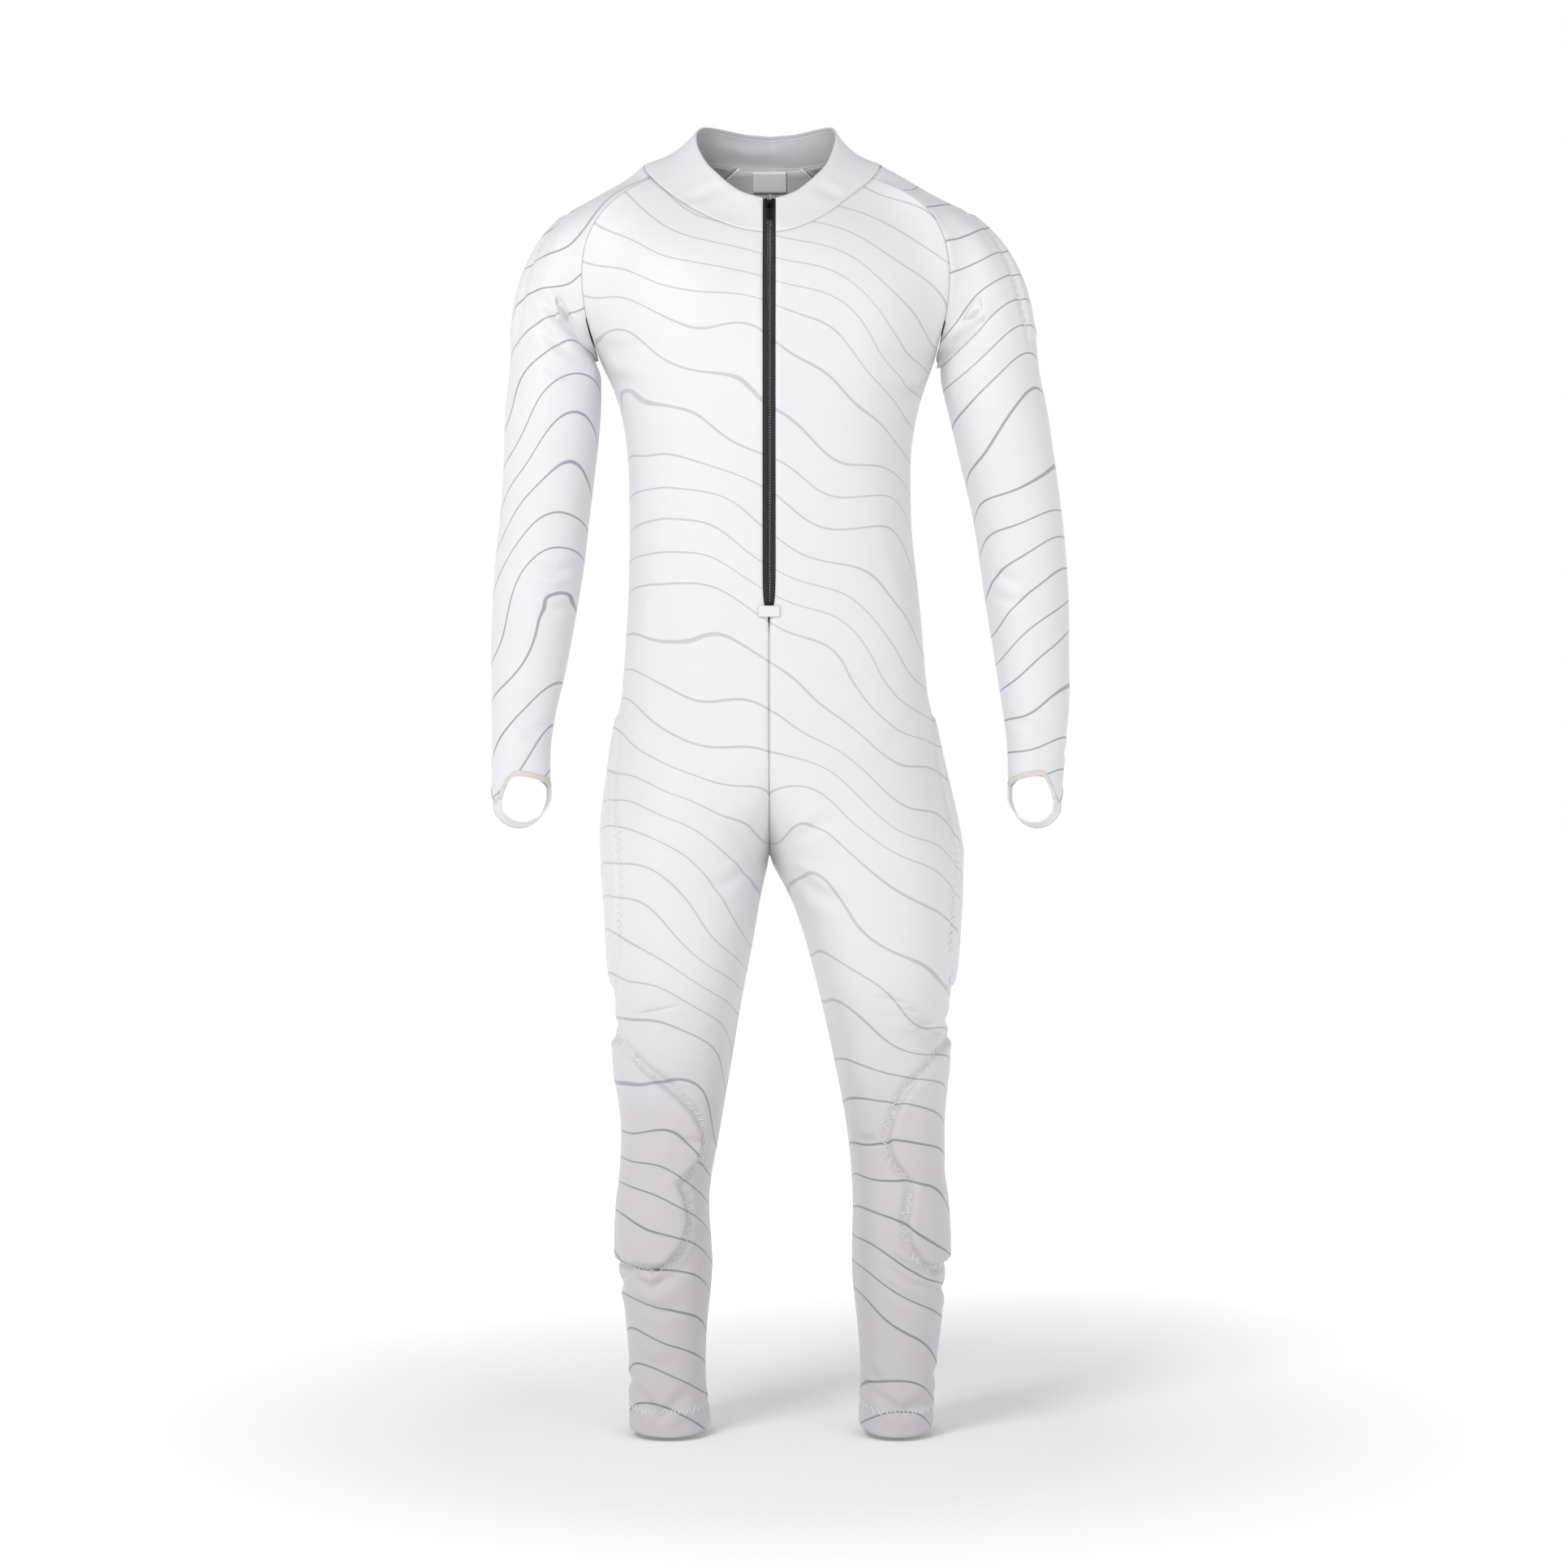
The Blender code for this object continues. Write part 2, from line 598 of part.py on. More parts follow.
def wall(name, outer, inner, sign, finish, closed=False):
    """A closed wall between two grids of points, its cells split along the same diagonal."""
    rows, columns = outer.shape[:2]
    around = columns - 1 if closed else columns
    bm = bmesh.new()
    skins = []
    for grid in (outer, inner):
        skins.append([[bm.verts.new(grid[i, j]) for j in range(around)] for i in range(rows)])

    def face(*corners):
        bm.faces.new(corners if sign > 0 else corners[::-1])

    for i in range(rows - 1):
        for j in range(columns - 1):
            k = (j + 1) % around
            a, b, c, d = skins[0][i][j], skins[0][i][k], skins[0][i + 1][k], skins[0][i + 1][j]
            face(a, b, c)
            face(a, c, d)
            a, b, c, d = skins[1][i][j], skins[1][i][k], skins[1][i + 1][k], skins[1][i + 1][j]
            face(c, b, a)
            face(d, c, a)
    for j in range(columns - 1):
        k = (j + 1) % around
        for i, order in ((0, 1), (rows - 1, -1)):
            o1, o2, n1, n2 = skins[0][i][j], skins[0][i][k], skins[1][i][j], skins[1][i][k]
            face(*(n1, n2, o2)[::order])
            face(*(n1, o2, o1)[::order])
    if not closed:
        for i in range(rows - 1):
            for j, order in ((0, 1), (columns - 1, -1)):
                o1, o2 = skins[0][i][j], skins[0][i + 1][j]
                n1, n2 = skins[1][i][j], skins[1][i + 1][j]
                face(*(o1, o2, n2)[::order])
                face(*(o1, n2, n1)[::order])
    mesh = bpy.data.meshes.new(name)
    bm.to_mesh(mesh)
    bm.free()
    made = add_object(name, mesh, finish)
    mesh.shade_smooth()
    mesh.set_sharp_from_angle(angle=radians(40))
    return made


def block_mesh(bm, x, up, out):
    """A box between pairs of limits along its three directions, in mm."""
    size = [(high - low) * MM for low, high in (x, up, out)]
    centre = [(high + low) / 2 * MM for low, high in (x, up, out)]
    made = bmesh.ops.create_cube(bm, size=1)
    for vertex in made["verts"]:
        vertex.co = [centre[k] + vertex.co[k] * size[k] for k in range(3)]


def joined_blocks(name, finish, blocks, cuts=(), bevel=0.0):
    """One solid from overlapping boxes, with others cut away."""
    def cutter(limits):
        bm = bmesh.new()
        block_mesh(bm, *limits)
        mesh = bpy.data.meshes.new(name + "_piece")
        bm.to_mesh(mesh)
        bm.free()
        made = bpy.data.objects.new(name + "_piece", mesh)
        cutters.objects.link(made)
        made.hide_render = True
        made.display_type = "WIRE"
        return made

    bm = bmesh.new()
    block_mesh(bm, *blocks[0])
    mesh = bpy.data.meshes.new(name)
    bm.to_mesh(mesh)
    bm.free()
    made = add_object(name, mesh, finish)
    for kind, group in (("UNION", blocks[1:]), ("DIFFERENCE", cuts)):
        for limits in group:
            tool = cutter(limits)
            tool.parent = made
            step = made.modifiers.new(kind.title(), "BOOLEAN")
            step.operation = kind
            step.object = tool
    if bevel:
        edge = made.modifiers.new("Bevel", "BEVEL")
        edge.width = bevel * MM
        edge.segments = 1
        edge.limit_method = "ANGLE"
    return made


def build_shell():
    """Panels, sleeves and collar, with the pads that lie under them."""
    grids = {}
    for side in SIDES:
        front, back, sleeve = build_side(side)
        sign = -SIDES[side]
        grids["front_" + side] = (front, sign)
        grids["back_" + side] = (back, sign)
        grids["sleeve_" + side] = (sleeve, sign)
    grids["collar"] = (collar_grid(), -1.0)
    normals = shared_normals(grids)

    for name, (grid, sign) in grids.items():
        closed = name.startswith("sleeve")
        side = name.split("_")[-1]
        lift = np.zeros(grid.shape[:2])
        pads = []
        if name.startswith("front"):
            for pad, height, first, last, top, bottom in BODY_PADS:
                rows = [ROW_HEIGHTS.index(z) + YOKE_ROWS for z in (top, bottom)]
                waist = [ROW_HEIGHTS.index(round(LOBE_WAIST_Z / MM)) + YOKE_ROWS]
                pads.append((pad, height, rows, (first, last), waist))
        if closed:
            height, first, last, top, bottom = SHOULDER_PAD
            pads.append(("shoulder_pad", height, (top - 1, bottom), (first, last), ()))
            height, firsts, last, top, bottom = FOREARM_PAD
            rows = [ARM_ROWS.index(z) + CAP_ROWS for z in (top, bottom)]
            pads.append(("forearm_pad", height, rows, (firsts[side], last), ()))
        for pad, height, rows, columns, waist in pads:
            lift += pad_lift(lift.shape, rows, columns, height * MM, waist)
        base = inset(grid, closed)
        normal = normals[name]
        outer = base + normal * lift[..., None]
        inner = outer - normal * WALL
        wall(name, outer, inner, sign, shell_cloth, closed)
        for pad, height, rows, columns, waist in pads:
            under = block(inner, rows, columns) - block(normal, rows, columns) * SEAM_GAP
            flush = block(base - normal * WALL, rows, columns)
            wall(pad + "_" + side, under, flush, sign, pad_foam)
    return grids, normals


def build_straps(grids):
    """The narrow band of each hand loop: round under the hand, half turned as it goes."""
    for side in SIDES:
        out = SIDES[side]
        start_z = curve(CUFF_EDGE, STRAP_START, 1) * MM - STRAP_DROP
        end_z = curve(CUFF_EDGE, STRAP_END, 1) * MM - STRAP_DROP
        start = arm_point(side, start_z, STRAP_START)
        end = arm_point(side, end_z, STRAP_END)
        p1 = start + np.array([-out * 9, 0, -32]) * MM
        p2 = end + np.array([out * 3, 0, -46]) * MM
        lies = [np.array([out * 0.48, 0.87, 0.0]), np.array([out * 0.25, 0.85, -0.5]),
                np.array([out * 0.31, 0.95, 0.0])]
        faces, backs = [], []
        for t in np.linspace(0, 1, STRAP_SEGMENTS + 1):
            centre = ((1 - t)**3 * start + 3 * t * (1 - t)**2 * p1
                      + 3 * t**2 * (1 - t) * p2 + t**3 * end)
            along = ((1 - t)**2 * (p1 - start) + 2 * t * (1 - t) * (p2 - p1)
                     + t**2 * (end - p2))
            across = (1 - t)**2 * lies[0] + 2 * t * (1 - t) * lies[1] * 1.6 + t**2 * lies[2]
            across -= np.dot(across, along) / np.dot(along, along) * along
            across /= np.linalg.norm(across)
            square = np.cross(along, across)
            square /= np.linalg.norm(square)
            edges = np.array([centre - across * STRAP_WIDTH / 2,
                              centre + across * STRAP_WIDTH / 2])
            faces.append(edges + square * WALL / 2)
            backs.append(edges - square * WALL / 2)
        wall("wrist_strap_" + side, np.array(faces), np.array(backs), -1, shell_cloth)


# Zip sizes in mm. Depths are measured out from the fronts' outer face.
TAPE_EDGE = 2.2
TAPE_REACH = 11.5
TAPE_FACE = -2.2
TAPE_THICKNESS = 0.9
CHAIN_HALF = 1.9
CHAIN_FACE = -1.3
CHAIN_BACK = -3.4
STOP_LENGTH = 2.2
SLIDER_TOP = 2.8              # below the collar's top edge
SLIDER_LENGTH = 10.0
BOTTOM_STOP_LENGTH = 5.0
PIVOT_DROP = 9.2              # the pull tab's bar below the collar's top edge
PIVOT_FACE = 0.65
TAB_LENGTH = 22.0
TAB_HALF = 2.8


def zip_line(grids, normals):
    """Rows of the fronts and the collar beside the zip, from the collar's top down."""
    rows = {}
    for side in SIDES:
        column = 0 if side == "right" else -1
        nearer = 1 if side == "right" else -2
        collar, lean = grids["collar"][0], normals["collar"]
        front, tilt = grids["front_" + side][0], normals["front_" + side]
        last = ROW_HEIGHTS.index(round(ZIP_BOTTOM / MM)) + YOKE_ROWS
        edge = np.concatenate([collar[::-1, column], front[1:last + 1, 0]])
        beside = np.concatenate([collar[::-1, nearer], front[1:last + 1, 1]])
        lean_edge = np.concatenate([lean[::-1, column], tilt[1:last + 1, 0]])
        lean_beside = np.concatenate([lean[::-1, nearer], tilt[1:last + 1, 1]])
        rows[side] = (edge, beside, lean_edge, lean_beside)
    return rows


def build_zip(grids, normals):
    rows = zip_line(grids, normals)
    for side, (edge, beside, lean_edge, lean_beside) in rows.items():
        share = ((TAPE_REACH * MM - ZIP_HALF_OPENING)
                 / (np.abs(beside[:, :1]) - ZIP_HALF_OPENING))
        reach = edge + (beside - edge) * share
        flat = lean_edge.copy()
        flat[:, 0] = 0
        flat /= np.linalg.norm(flat, axis=1, keepdims=True)
        near = edge.copy()
        near[:, 0] = SIDES[side] * TAPE_EDGE * MM
        lean_reach = lean_edge + (lean_beside - lean_edge) * share
        lean_reach /= np.linalg.norm(lean_reach, axis=1, keepdims=True)
        base = np.stack([near, edge, reach], axis=1)
        lean = np.stack([flat, lean_edge, lean_reach], axis=1)
        face = base + lean * TAPE_FACE * MM
        back = base + lean * (TAPE_FACE - TAPE_THICKNESS) * MM
        wall("zip_tape_" + side, face, back, -SIDES[side], tape_cloth)

    edge, lean = rows["right"][0].copy(), rows["right"][2].copy()
    edge[:, 0] = 0
    lean[:, 0] = 0
    lean /= np.linalg.norm(lean, axis=1, keepdims=True)
    length = np.concatenate([[0], np.cumsum(np.linalg.norm(np.diff(edge, axis=0), axis=1))])

    def at(distance):
        point = np.array([np.interp(distance, length, edge[:, k]) for k in range(3)])
        out = np.array([np.interp(distance, length, lean[:, k]) for k in range(3)])
        return point, out / np.linalg.norm(out)

    top = (SLIDER_TOP + SLIDER_LENGTH + 0.3) * MM
    bottom = length[-1] - (BOTTOM_STOP_LENGTH + 0.8) * MM
    inner_rows = [d for d in length if top + 4 * MM < d < bottom - 4 * MM]
    face, back = [], []
    for distance in [top] + inner_rows + [bottom]:
        point, out = at(distance)
        across = np.array([CHAIN_HALF * MM, 0, 0])
        face.append([point - across + out * CHAIN_FACE * MM,
                     point + across + out * CHAIN_FACE * MM])
        back.append([point - across + out * CHAIN_BACK * MM,
                     point + across + out * CHAIN_BACK * MM])
    wall("zip_chain", np.array(face), np.array(back), -1, zip_black)

    def frame(distance):
        """Place of a stiff piece: x across, y up along the zip, z out of the chest."""
        point = at(distance)[0]
        above, below = at(max(distance - 4 * MM, 0))[0], at(distance + 4 * MM)[0]
        up = (above - below) / np.linalg.norm(above - below)
        across = np.array([1.0, 0, 0])
        out = np.cross(across, up)
        columns = np.stack([across, up, out, point], axis=1)
        return [list(row) for row in columns] + [[0, 0, 0, 1]]

    def place(made, distance, depth=0.0):
        matrix = frame(distance)
        for k in range(3):
            matrix[k][3] += matrix[k][2] * depth * MM
        made.matrix_world = Matrix(matrix)

    slider_mid = SLIDER_TOP + SLIDER_LENGTH / 2
    half = SLIDER_LENGTH / 2
    plate_face = TAPE_FACE + 0.3
    plate_top = plate_face + 1.2
    back_face = TAPE_FACE - TAPE_THICKNESS - 0.3
    pivot = slider_mid - PIVOT_DROP
    slider = joined_blocks("zip_slider", zip_black, [
        ((-4.2, 4.2), (-half, half), (plate_face, plate_top)),
        ((-1.6, 1.6), (-2.5, 2.5), (back_face - 0.2, plate_face + 0.2)),
        ((-3.6, 3.6), (-half, half), (back_face - 0.9, back_face)),
        ((-1.0, 1.0), (pivot - 2.5, pivot - 1.3), (plate_top - 0.2, plate_top + 3.7)),
        ((-1.0, 1.0), (pivot + 3.3, pivot + 4.5), (plate_top - 0.2, plate_top + 3.7)),
        ((-1.0, 1.0), (pivot - 2.5, pivot + 4.5), (plate_top + 2.7, plate_top + 3.7)),
    ])
    place(slider, slider_mid * MM)

    reach = 6.2
    tab = joined_blocks("zip_pull_tab", zip_black, [
        ((-TAB_HALF, TAB_HALF), (-TAB_LENGTH, 0.7), (-0.6, 0.6)),
    ], cuts=[((-1.5, 1.5), (-reach, -0.7), (-2, 2))], bevel=0.2)
    place(tab, PIVOT_DROP * MM, PIVOT_FACE)

    for side, sign in SIDES.items():
        stop = joined_blocks("zip_top_stop_" + side, zip_black, [
            (sorted((sign * 2.5, sign * 4.3)), (-STOP_LENGTH / 2, STOP_LENGTH / 2),
             (plate_face, plate_face + 1.0)),
        ], bevel=0.2)
        place(stop, (STOP_LENGTH / 2 + 0.2) * MM)
    stop = joined_blocks("zip_bottom_stop", zip_black, [
        ((-3.2, 3.2), (-BOTTOM_STOP_LENGTH / 2, BOTTOM_STOP_LENGTH / 2),
         (plate_face, plate_face + 1.1)),
    ], bevel=0.3)
    place(stop, length[-1] - (BOTTOM_STOP_LENGTH / 2 + 0.5) * MM)


LABEL_HALF = 19 * MM
LABEL_SHARES = (0.06, 0.80)   # of the first row of cells below the collar
LABEL_GAP = 0.6 * MM
LABEL_THICKNESS = 0.8 * MM


def build_label(grids):
    """Blank satin label sewn inside the centre back, under the collar seam."""
    rows = []
    for share in np.linspace(*LABEL_SHARES, 3):
        line = {}
        for side in SIDES:
            back = grids["back_" + side][0]
            line[side] = back[0] + (back[1] - back[0]) * share
        whole = np.concatenate([line["right"], line["left"][::-1][1:]])
        row = []
        for x in np.linspace(-LABEL_HALF, LABEL_HALF, 7):
            row.append([x, np.interp(x, whole[:, 0], whole[:, 1]),
                        np.interp(x, whole[:, 0], whole[:, 2])])
        rows.append(row)
    grid = np.array(rows)
    inward = face_normals(grid, 1.0)
    inward /= np.linalg.norm(inward, axis=2, keepdims=True)
    inward *= -np.sign(inward[..., 1:2])
    outer = grid + inward * (WALL + LABEL_GAP)
    inner = grid + inward * (WALL + LABEL_GAP + LABEL_THICKNESS)
    wall("neck_label", outer, inner, 1.0, label_satin)


shell_cloth = material("white stretch knit", (0.80, 0.80, 0.83), 0.5)
pad_foam = material("grey pad foam", (0.45, 0.45, 0.47), 0.8)
tape_cloth = material("black zip tape", (0.012, 0.012, 0.013), 0.85)
zip_black = material("black coated zip metal", (0.015, 0.015, 0.016), 0.45)
label_satin = material("white satin label", (0.78, 0.80, 0.84), 0.35)

base_grids, base_normals = build_shell()
build_straps(base_grids)
build_zip(base_grids, base_normals)
build_label(base_grids)
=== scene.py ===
import bmesh
import bpy
import numpy as np
from math import cos, pi, radians, sin
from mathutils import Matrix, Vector


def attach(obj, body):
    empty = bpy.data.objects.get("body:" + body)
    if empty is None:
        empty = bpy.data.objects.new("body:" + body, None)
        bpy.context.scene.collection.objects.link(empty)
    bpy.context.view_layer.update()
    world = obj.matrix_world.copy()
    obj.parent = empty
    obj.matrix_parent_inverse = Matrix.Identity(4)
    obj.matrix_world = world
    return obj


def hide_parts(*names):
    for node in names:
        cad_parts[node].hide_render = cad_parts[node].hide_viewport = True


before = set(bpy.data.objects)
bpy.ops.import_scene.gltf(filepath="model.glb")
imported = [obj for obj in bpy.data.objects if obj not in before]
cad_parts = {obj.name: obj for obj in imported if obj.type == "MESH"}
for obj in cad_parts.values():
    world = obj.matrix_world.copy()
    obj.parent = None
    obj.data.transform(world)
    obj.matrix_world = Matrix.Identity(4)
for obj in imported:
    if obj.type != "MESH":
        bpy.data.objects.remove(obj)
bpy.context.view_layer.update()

# Shell cloth
# White warp-knit stretch cloth with a soft sheen, bonded to a brushed lining. The knit shows
# as fine columns of loops. A thin grey contour-line print runs over all of it.
MM = 0.001
SIDES = {"right": -1, "left": 1}


def rgb(code):
    """An sRGB hex colour as linear values."""
    parts = [int(code[k:k + 2], 16) / 255 for k in (1, 3, 5)]
    return tuple(p / 12.92 if p <= 0.04045 else ((p + 0.055) / 1.055) ** 2.4 for p in parts)


def add_node(tree, kind, links=(), **inputs):
    """A shader node with its inputs set, linked from (output, input name) pairs."""
    node = tree.nodes.new(kind)
    for name, value in inputs.items():
        if hasattr(node, name):
            setattr(node, name, value)
        else:
            node.inputs[name.replace("_", " ").title()].default_value = value
    for output, name in links:
        tree.links.new(output, node.inputs[name])
    return node


def new_material(name, colour, roughness):
    made = bpy.data.materials.new(name)
    made.use_nodes = True
    shader = made.node_tree.nodes["Principled BSDF"]
    shader.inputs["Base Color"].default_value = (*rgb(colour), 1)
    shader.inputs["Roughness"].default_value = roughness
    return made, made.node_tree, shader


def knit_bump(tree, shader, place, loop, depth):
    """Columns and rows of knit loops, with a slower unevenness of the cloth."""
    columns = add_node(tree, "ShaderNodeTexWave", [(place, "Vector")], bands_direction="X",
                       Scale=pi / 10 / loop, Distortion=0.6)
    rows = add_node(tree, "ShaderNodeTexWave", [(place, "Vector")], bands_direction="Z",
                    Scale=pi / 10 / (0.8 * loop), Distortion=0.8)
    both = add_node(tree, "ShaderNodeMath", operation="MULTIPLY")
    tree.links.new(columns.outputs["Fac"], both.inputs[0])
    tree.links.new(rows.outputs["Fac"], both.inputs[1])
    fine = add_node(tree, "ShaderNodeBump", [(both.outputs[0], "Height")], Strength=0.5,
                    Distance=depth)
    uneven = add_node(tree, "ShaderNodeTexNoise", [(place, "Vector")], Scale=1 / (22 * MM),
                      Detail=3.0)
    slow = add_node(tree, "ShaderNodeBump", [(uneven.outputs["Fac"], "Height"),
                                             (fine.outputs["Normal"], "Normal")],
                    Strength=0.35, Distance=1.2 * MM)
    tree.links.new(slow.outputs["Normal"], shader.inputs["Normal"])


PRINT_SWIRL = 4.5             # lines that the slow noise moves the print by
LINE_SHARE = (0.022, 0.036)   # half a printed line, full and faded, as shares of their spacing


def shell_material(name, cloth, shaded_low_cloth, line="#FFFFFF", low_line="#FFFFFF", slant=None):
    """Knit, plain or with the contour print. Below the knee the ground turns darker, painted shade for
    the dimmer light low on the suit, and the print lines darken there too.
    """
    made, tree, shader = new_material(name, cloth, 0.42)
    shader.inputs["Sheen Weight"].default_value = 0.25
    shader.inputs["Sheen Roughness"].default_value = 0.4
    place = add_node(tree, "ShaderNodeTexCoord").outputs["Object"]
    knit_bump(tree, shader, place, 1.1 * MM, 0.18 * MM)

    apart = add_node(tree, "ShaderNodeSeparateXYZ", [(place, "Vector")])
    # Darker towards the bottom: below the knee the ground is painted shade for the dimmer light low down,
    # and the print lines darken with it.
    low = add_node(tree, "ShaderNodeMapRange", [(apart.outputs["Z"], "Value")],
                   interpolation_type="SMOOTHSTEP")
    for key, value in (("From Min", -0.86), ("From Max", -1.10), ("To Min", 0), ("To Max", 1)):
        low.inputs[key].default_value = value
    shaded_grounds = add_node(tree, "ShaderNodeMix", data_type="RGBA")
    lines = add_node(tree, "ShaderNodeMix", data_type="RGBA")
    for mix, first, second in ((shaded_grounds, cloth, shaded_low_cloth), (lines, line, low_line)):
        mix.inputs[6].default_value = (*rgb(first), 1)
        mix.inputs[7].default_value = (*rgb(second), 1)
        tree.links.new(low.outputs["Result"], mix.inputs[0])

    if not slant:
        tree.links.new(shaded_grounds.outputs[2], shader.inputs["Base Color"])
        return made
    swirl = add_node(tree, "ShaderNodeTexNoise", [(place, "Vector")], Scale=5.0, Detail=1.0,
                     Roughness=0.4)
    along = add_node(tree, "ShaderNodeVectorMath", [(place, 0)], operation="DOT_PRODUCT")
    along.inputs[1].default_value = slant
    bend = add_node(tree, "ShaderNodeMath", operation="MULTIPLY_ADD")
    tree.links.new(swirl.outputs["Fac"], bend.inputs[0])
    bend.inputs[1].default_value = PRINT_SWIRL
    tree.links.new(along.outputs["Value"], bend.inputs[2])
    fold = add_node(tree, "ShaderNodeMath", [(bend.outputs[0], 0)], operation="PINGPONG")
    fold.inputs[1].default_value = 0.5
    mask = add_node(tree, "ShaderNodeMapRange", [(fold.outputs[0], "Value")])
    for key, value in (("From Min", LINE_SHARE[0]), ("From Max", LINE_SHARE[1]),
                       ("To Min", 0.85), ("To Max", 0)):
        mask.inputs[key].default_value = value
    printed = add_node(tree, "ShaderNodeMix", data_type="RGBA")
    tree.links.new(mask.outputs["Result"], printed.inputs[0])
    tree.links.new(shaded_grounds.outputs[2], printed.inputs[6])
    tree.links.new(lines.outputs[2], printed.inputs[7])
    tree.links.new(printed.outputs[2], shader.inputs["Base Color"])
    return made


# The second colour of each is the ground below the knee, darker as painted shade.
body_knit = shell_material("white race knit with contour print", "#D6D6DA", "#C3C0C5", "#B4B3BC",
                           "#7C7C8A", (13, 5, 24))
sleeve_knit = shell_material("white sleeve knit with contour print", "#D6D6DA", "#D6D6DA",
                             "#8C8C99", "#8C8C99", (-17, 6, 22))
plain_knit = shell_material("plain white race knit", "#D6D6DA", "#D6D6DA")
lining = shell_material("pale grey brushed lining", "#C6C6CB", "#BEBEC5")


def cloth_from(node, name, levels, groove=0.0):
    """A smooth thin shell on a solid's form. Its edges dip a little where they are sewn."""
    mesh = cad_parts[node].data.copy()
    cloth = bpy.data.objects.new(name, mesh)
    bpy.context.scene.collection.objects.link(cloth)
    mesh.materials.clear()
    bpy.ops.object.select_all(action="DESELECT")
    cloth.select_set(True)
    bpy.context.view_layer.objects.active = cloth
    bpy.ops.object.mode_set(mode="EDIT")
    bpy.ops.mesh.select_mode(type="EDGE")
    bpy.ops.mesh.select_all(action="SELECT")
    bpy.ops.mesh.customdata_custom_splitnormals_clear()
    bpy.ops.mesh.remove_doubles(threshold=0.02 * MM)
    bpy.ops.mesh.mark_sharp(clear=True)
    bpy.ops.mesh.tris_convert_to_quads(face_threshold=radians(60), shape_threshold=radians(70))
    bpy.ops.mesh.select_all(action="DESELECT")
    bpy.ops.mesh.edges_select_sharp(sharpness=radians(62))
    bpy.ops.transform.edge_crease(value=1.0)
    bpy.ops.object.vertex_group_add()
    bpy.ops.object.vertex_group_assign()
    bpy.ops.object.mode_set(mode="OBJECT")
    cloth.vertex_groups[0].name = "edge"
    rounder = cloth.modifiers.new("Subdivision", "SUBSURF")
    rounder.levels = levels
    bpy.ops.object.modifier_apply(modifier=rounder.name)
    if groove:
        co = outward(cloth)[0]
        away = co - core_line(co, name)
        away /= np.maximum(np.linalg.norm(away, axis=1, keepdims=True), 1e-6)
        dip = np.clip((edge_weights(cloth) - 0.80) / 0.18, 0, 1)
        co -= away * (groove * dip * dip * (3 - 2 * dip))[:, None]
        cloth.data.vertices.foreach_set("co", co.ravel())
        cloth.data.update()
    cloth.data.shade_smooth()
    return cloth


def edge_weights(cloth):
    """How near each point is to its cloth's cut edges: 1 on them, 0 a few rows away."""
    weights = np.zeros(len(cloth.data.vertices))
    for vertex in cloth.data.vertices:
        for group in vertex.groups:
            weights[vertex.index] = group.weight
    return weights


def core_line(co, name):
    """The middle of the trunk, leg or arm that each point of a piece lies round."""
    x = np.zeros(len(co))
    arms = (co[:, 2] < -0.17) & ("sleeve" in name)
    legs = (co[:, 2] < -0.75) & ~arms
    spread = 0.105 + 0.02 * (co[:, 0] > 0)
    x[legs] = (np.sign(co[:, 0]) * spread)[legs]
    x[arms] = (np.sign(co[:, 0]) * np.clip(0.235 - 0.11 * (co[:, 2] + 0.25), 0.2, 0.285))[arms]
    return np.stack([x, np.full(len(co), 0.005), co[:, 2]], axis=1)


def outward(cloth):
    """A cloth's points and, for both its faces, the direction away from the wearer."""
    count = len(cloth.data.vertices)
    co, no = np.zeros(count * 3), np.zeros(count * 3)
    cloth.data.vertices.foreach_get("co", co)
    cloth.data.vertices.foreach_get("normal", no)
    co, no = co.reshape(-1, 3), no.reshape(-1, 3)
    flip = np.sign(((co - core_line(co, cloth.name)) * no).sum(axis=1))
    return co, no * np.where(flip == 0, 1, flip)[:, None]


def press_folds(cloth, folds):
    """Push valleys and their rolled edges into a cloth along given lines.
    Each fold: the side it is seen from, its points across and up in mm, depth, half width."""
    co, out = outward(cloth)
    facing = {"front": -out[:, 1], "back": out[:, 1], "right": -out[:, 0], "left": out[:, 0]}
    move = np.zeros(len(co))
    for seen, points, depth, width in folds:
        across = co[:, 0] if seen in ("front", "back") else co[:, 1]
        flat = np.stack([across, co[:, 2]], axis=1)
        points = np.array(points, float) * MM
        lengths = np.linalg.norm(np.diff(points, axis=0), axis=1)
        start = np.concatenate([[0], np.cumsum(lengths)]) / lengths.sum()
        near = np.full(len(co), 9.0)
        share = np.zeros(len(co))
        for k, length in enumerate(lengths):
            run = points[k + 1] - points[k]
            t = np.clip(((flat - points[k]) @ run) / length**2, 0, 1)
            away = np.linalg.norm(flat - points[k] - t[:, None] * run, axis=1)
            better = away < near
            near[better] = away[better]
            share[better] = (start[k] + t * (start[k + 1] - start[k]))[better]
        wide = width * MM * (0.75 + 0.5 * share)
        fade = np.sin(pi * np.clip(share, 0.02, 0.98)) ** 0.6
        valley = -np.exp(-(near / wide) ** 2)
        roll = 0.6 * np.exp(-((near - 2.0 * wide) / (1.1 * wide)) ** 2)
        mask = np.clip(facing[seen] / 0.45, 0, 1)
        move += depth * MM * mask * fade * (valley + roll)
    move *= 1 - 0.8 * np.clip((edge_weights(cloth) - 0.2) / 0.6, 0, 1)
    cloth.data.vertices.foreach_set("co", (co + out * move[:, None]).ravel())
    cloth.data.update()


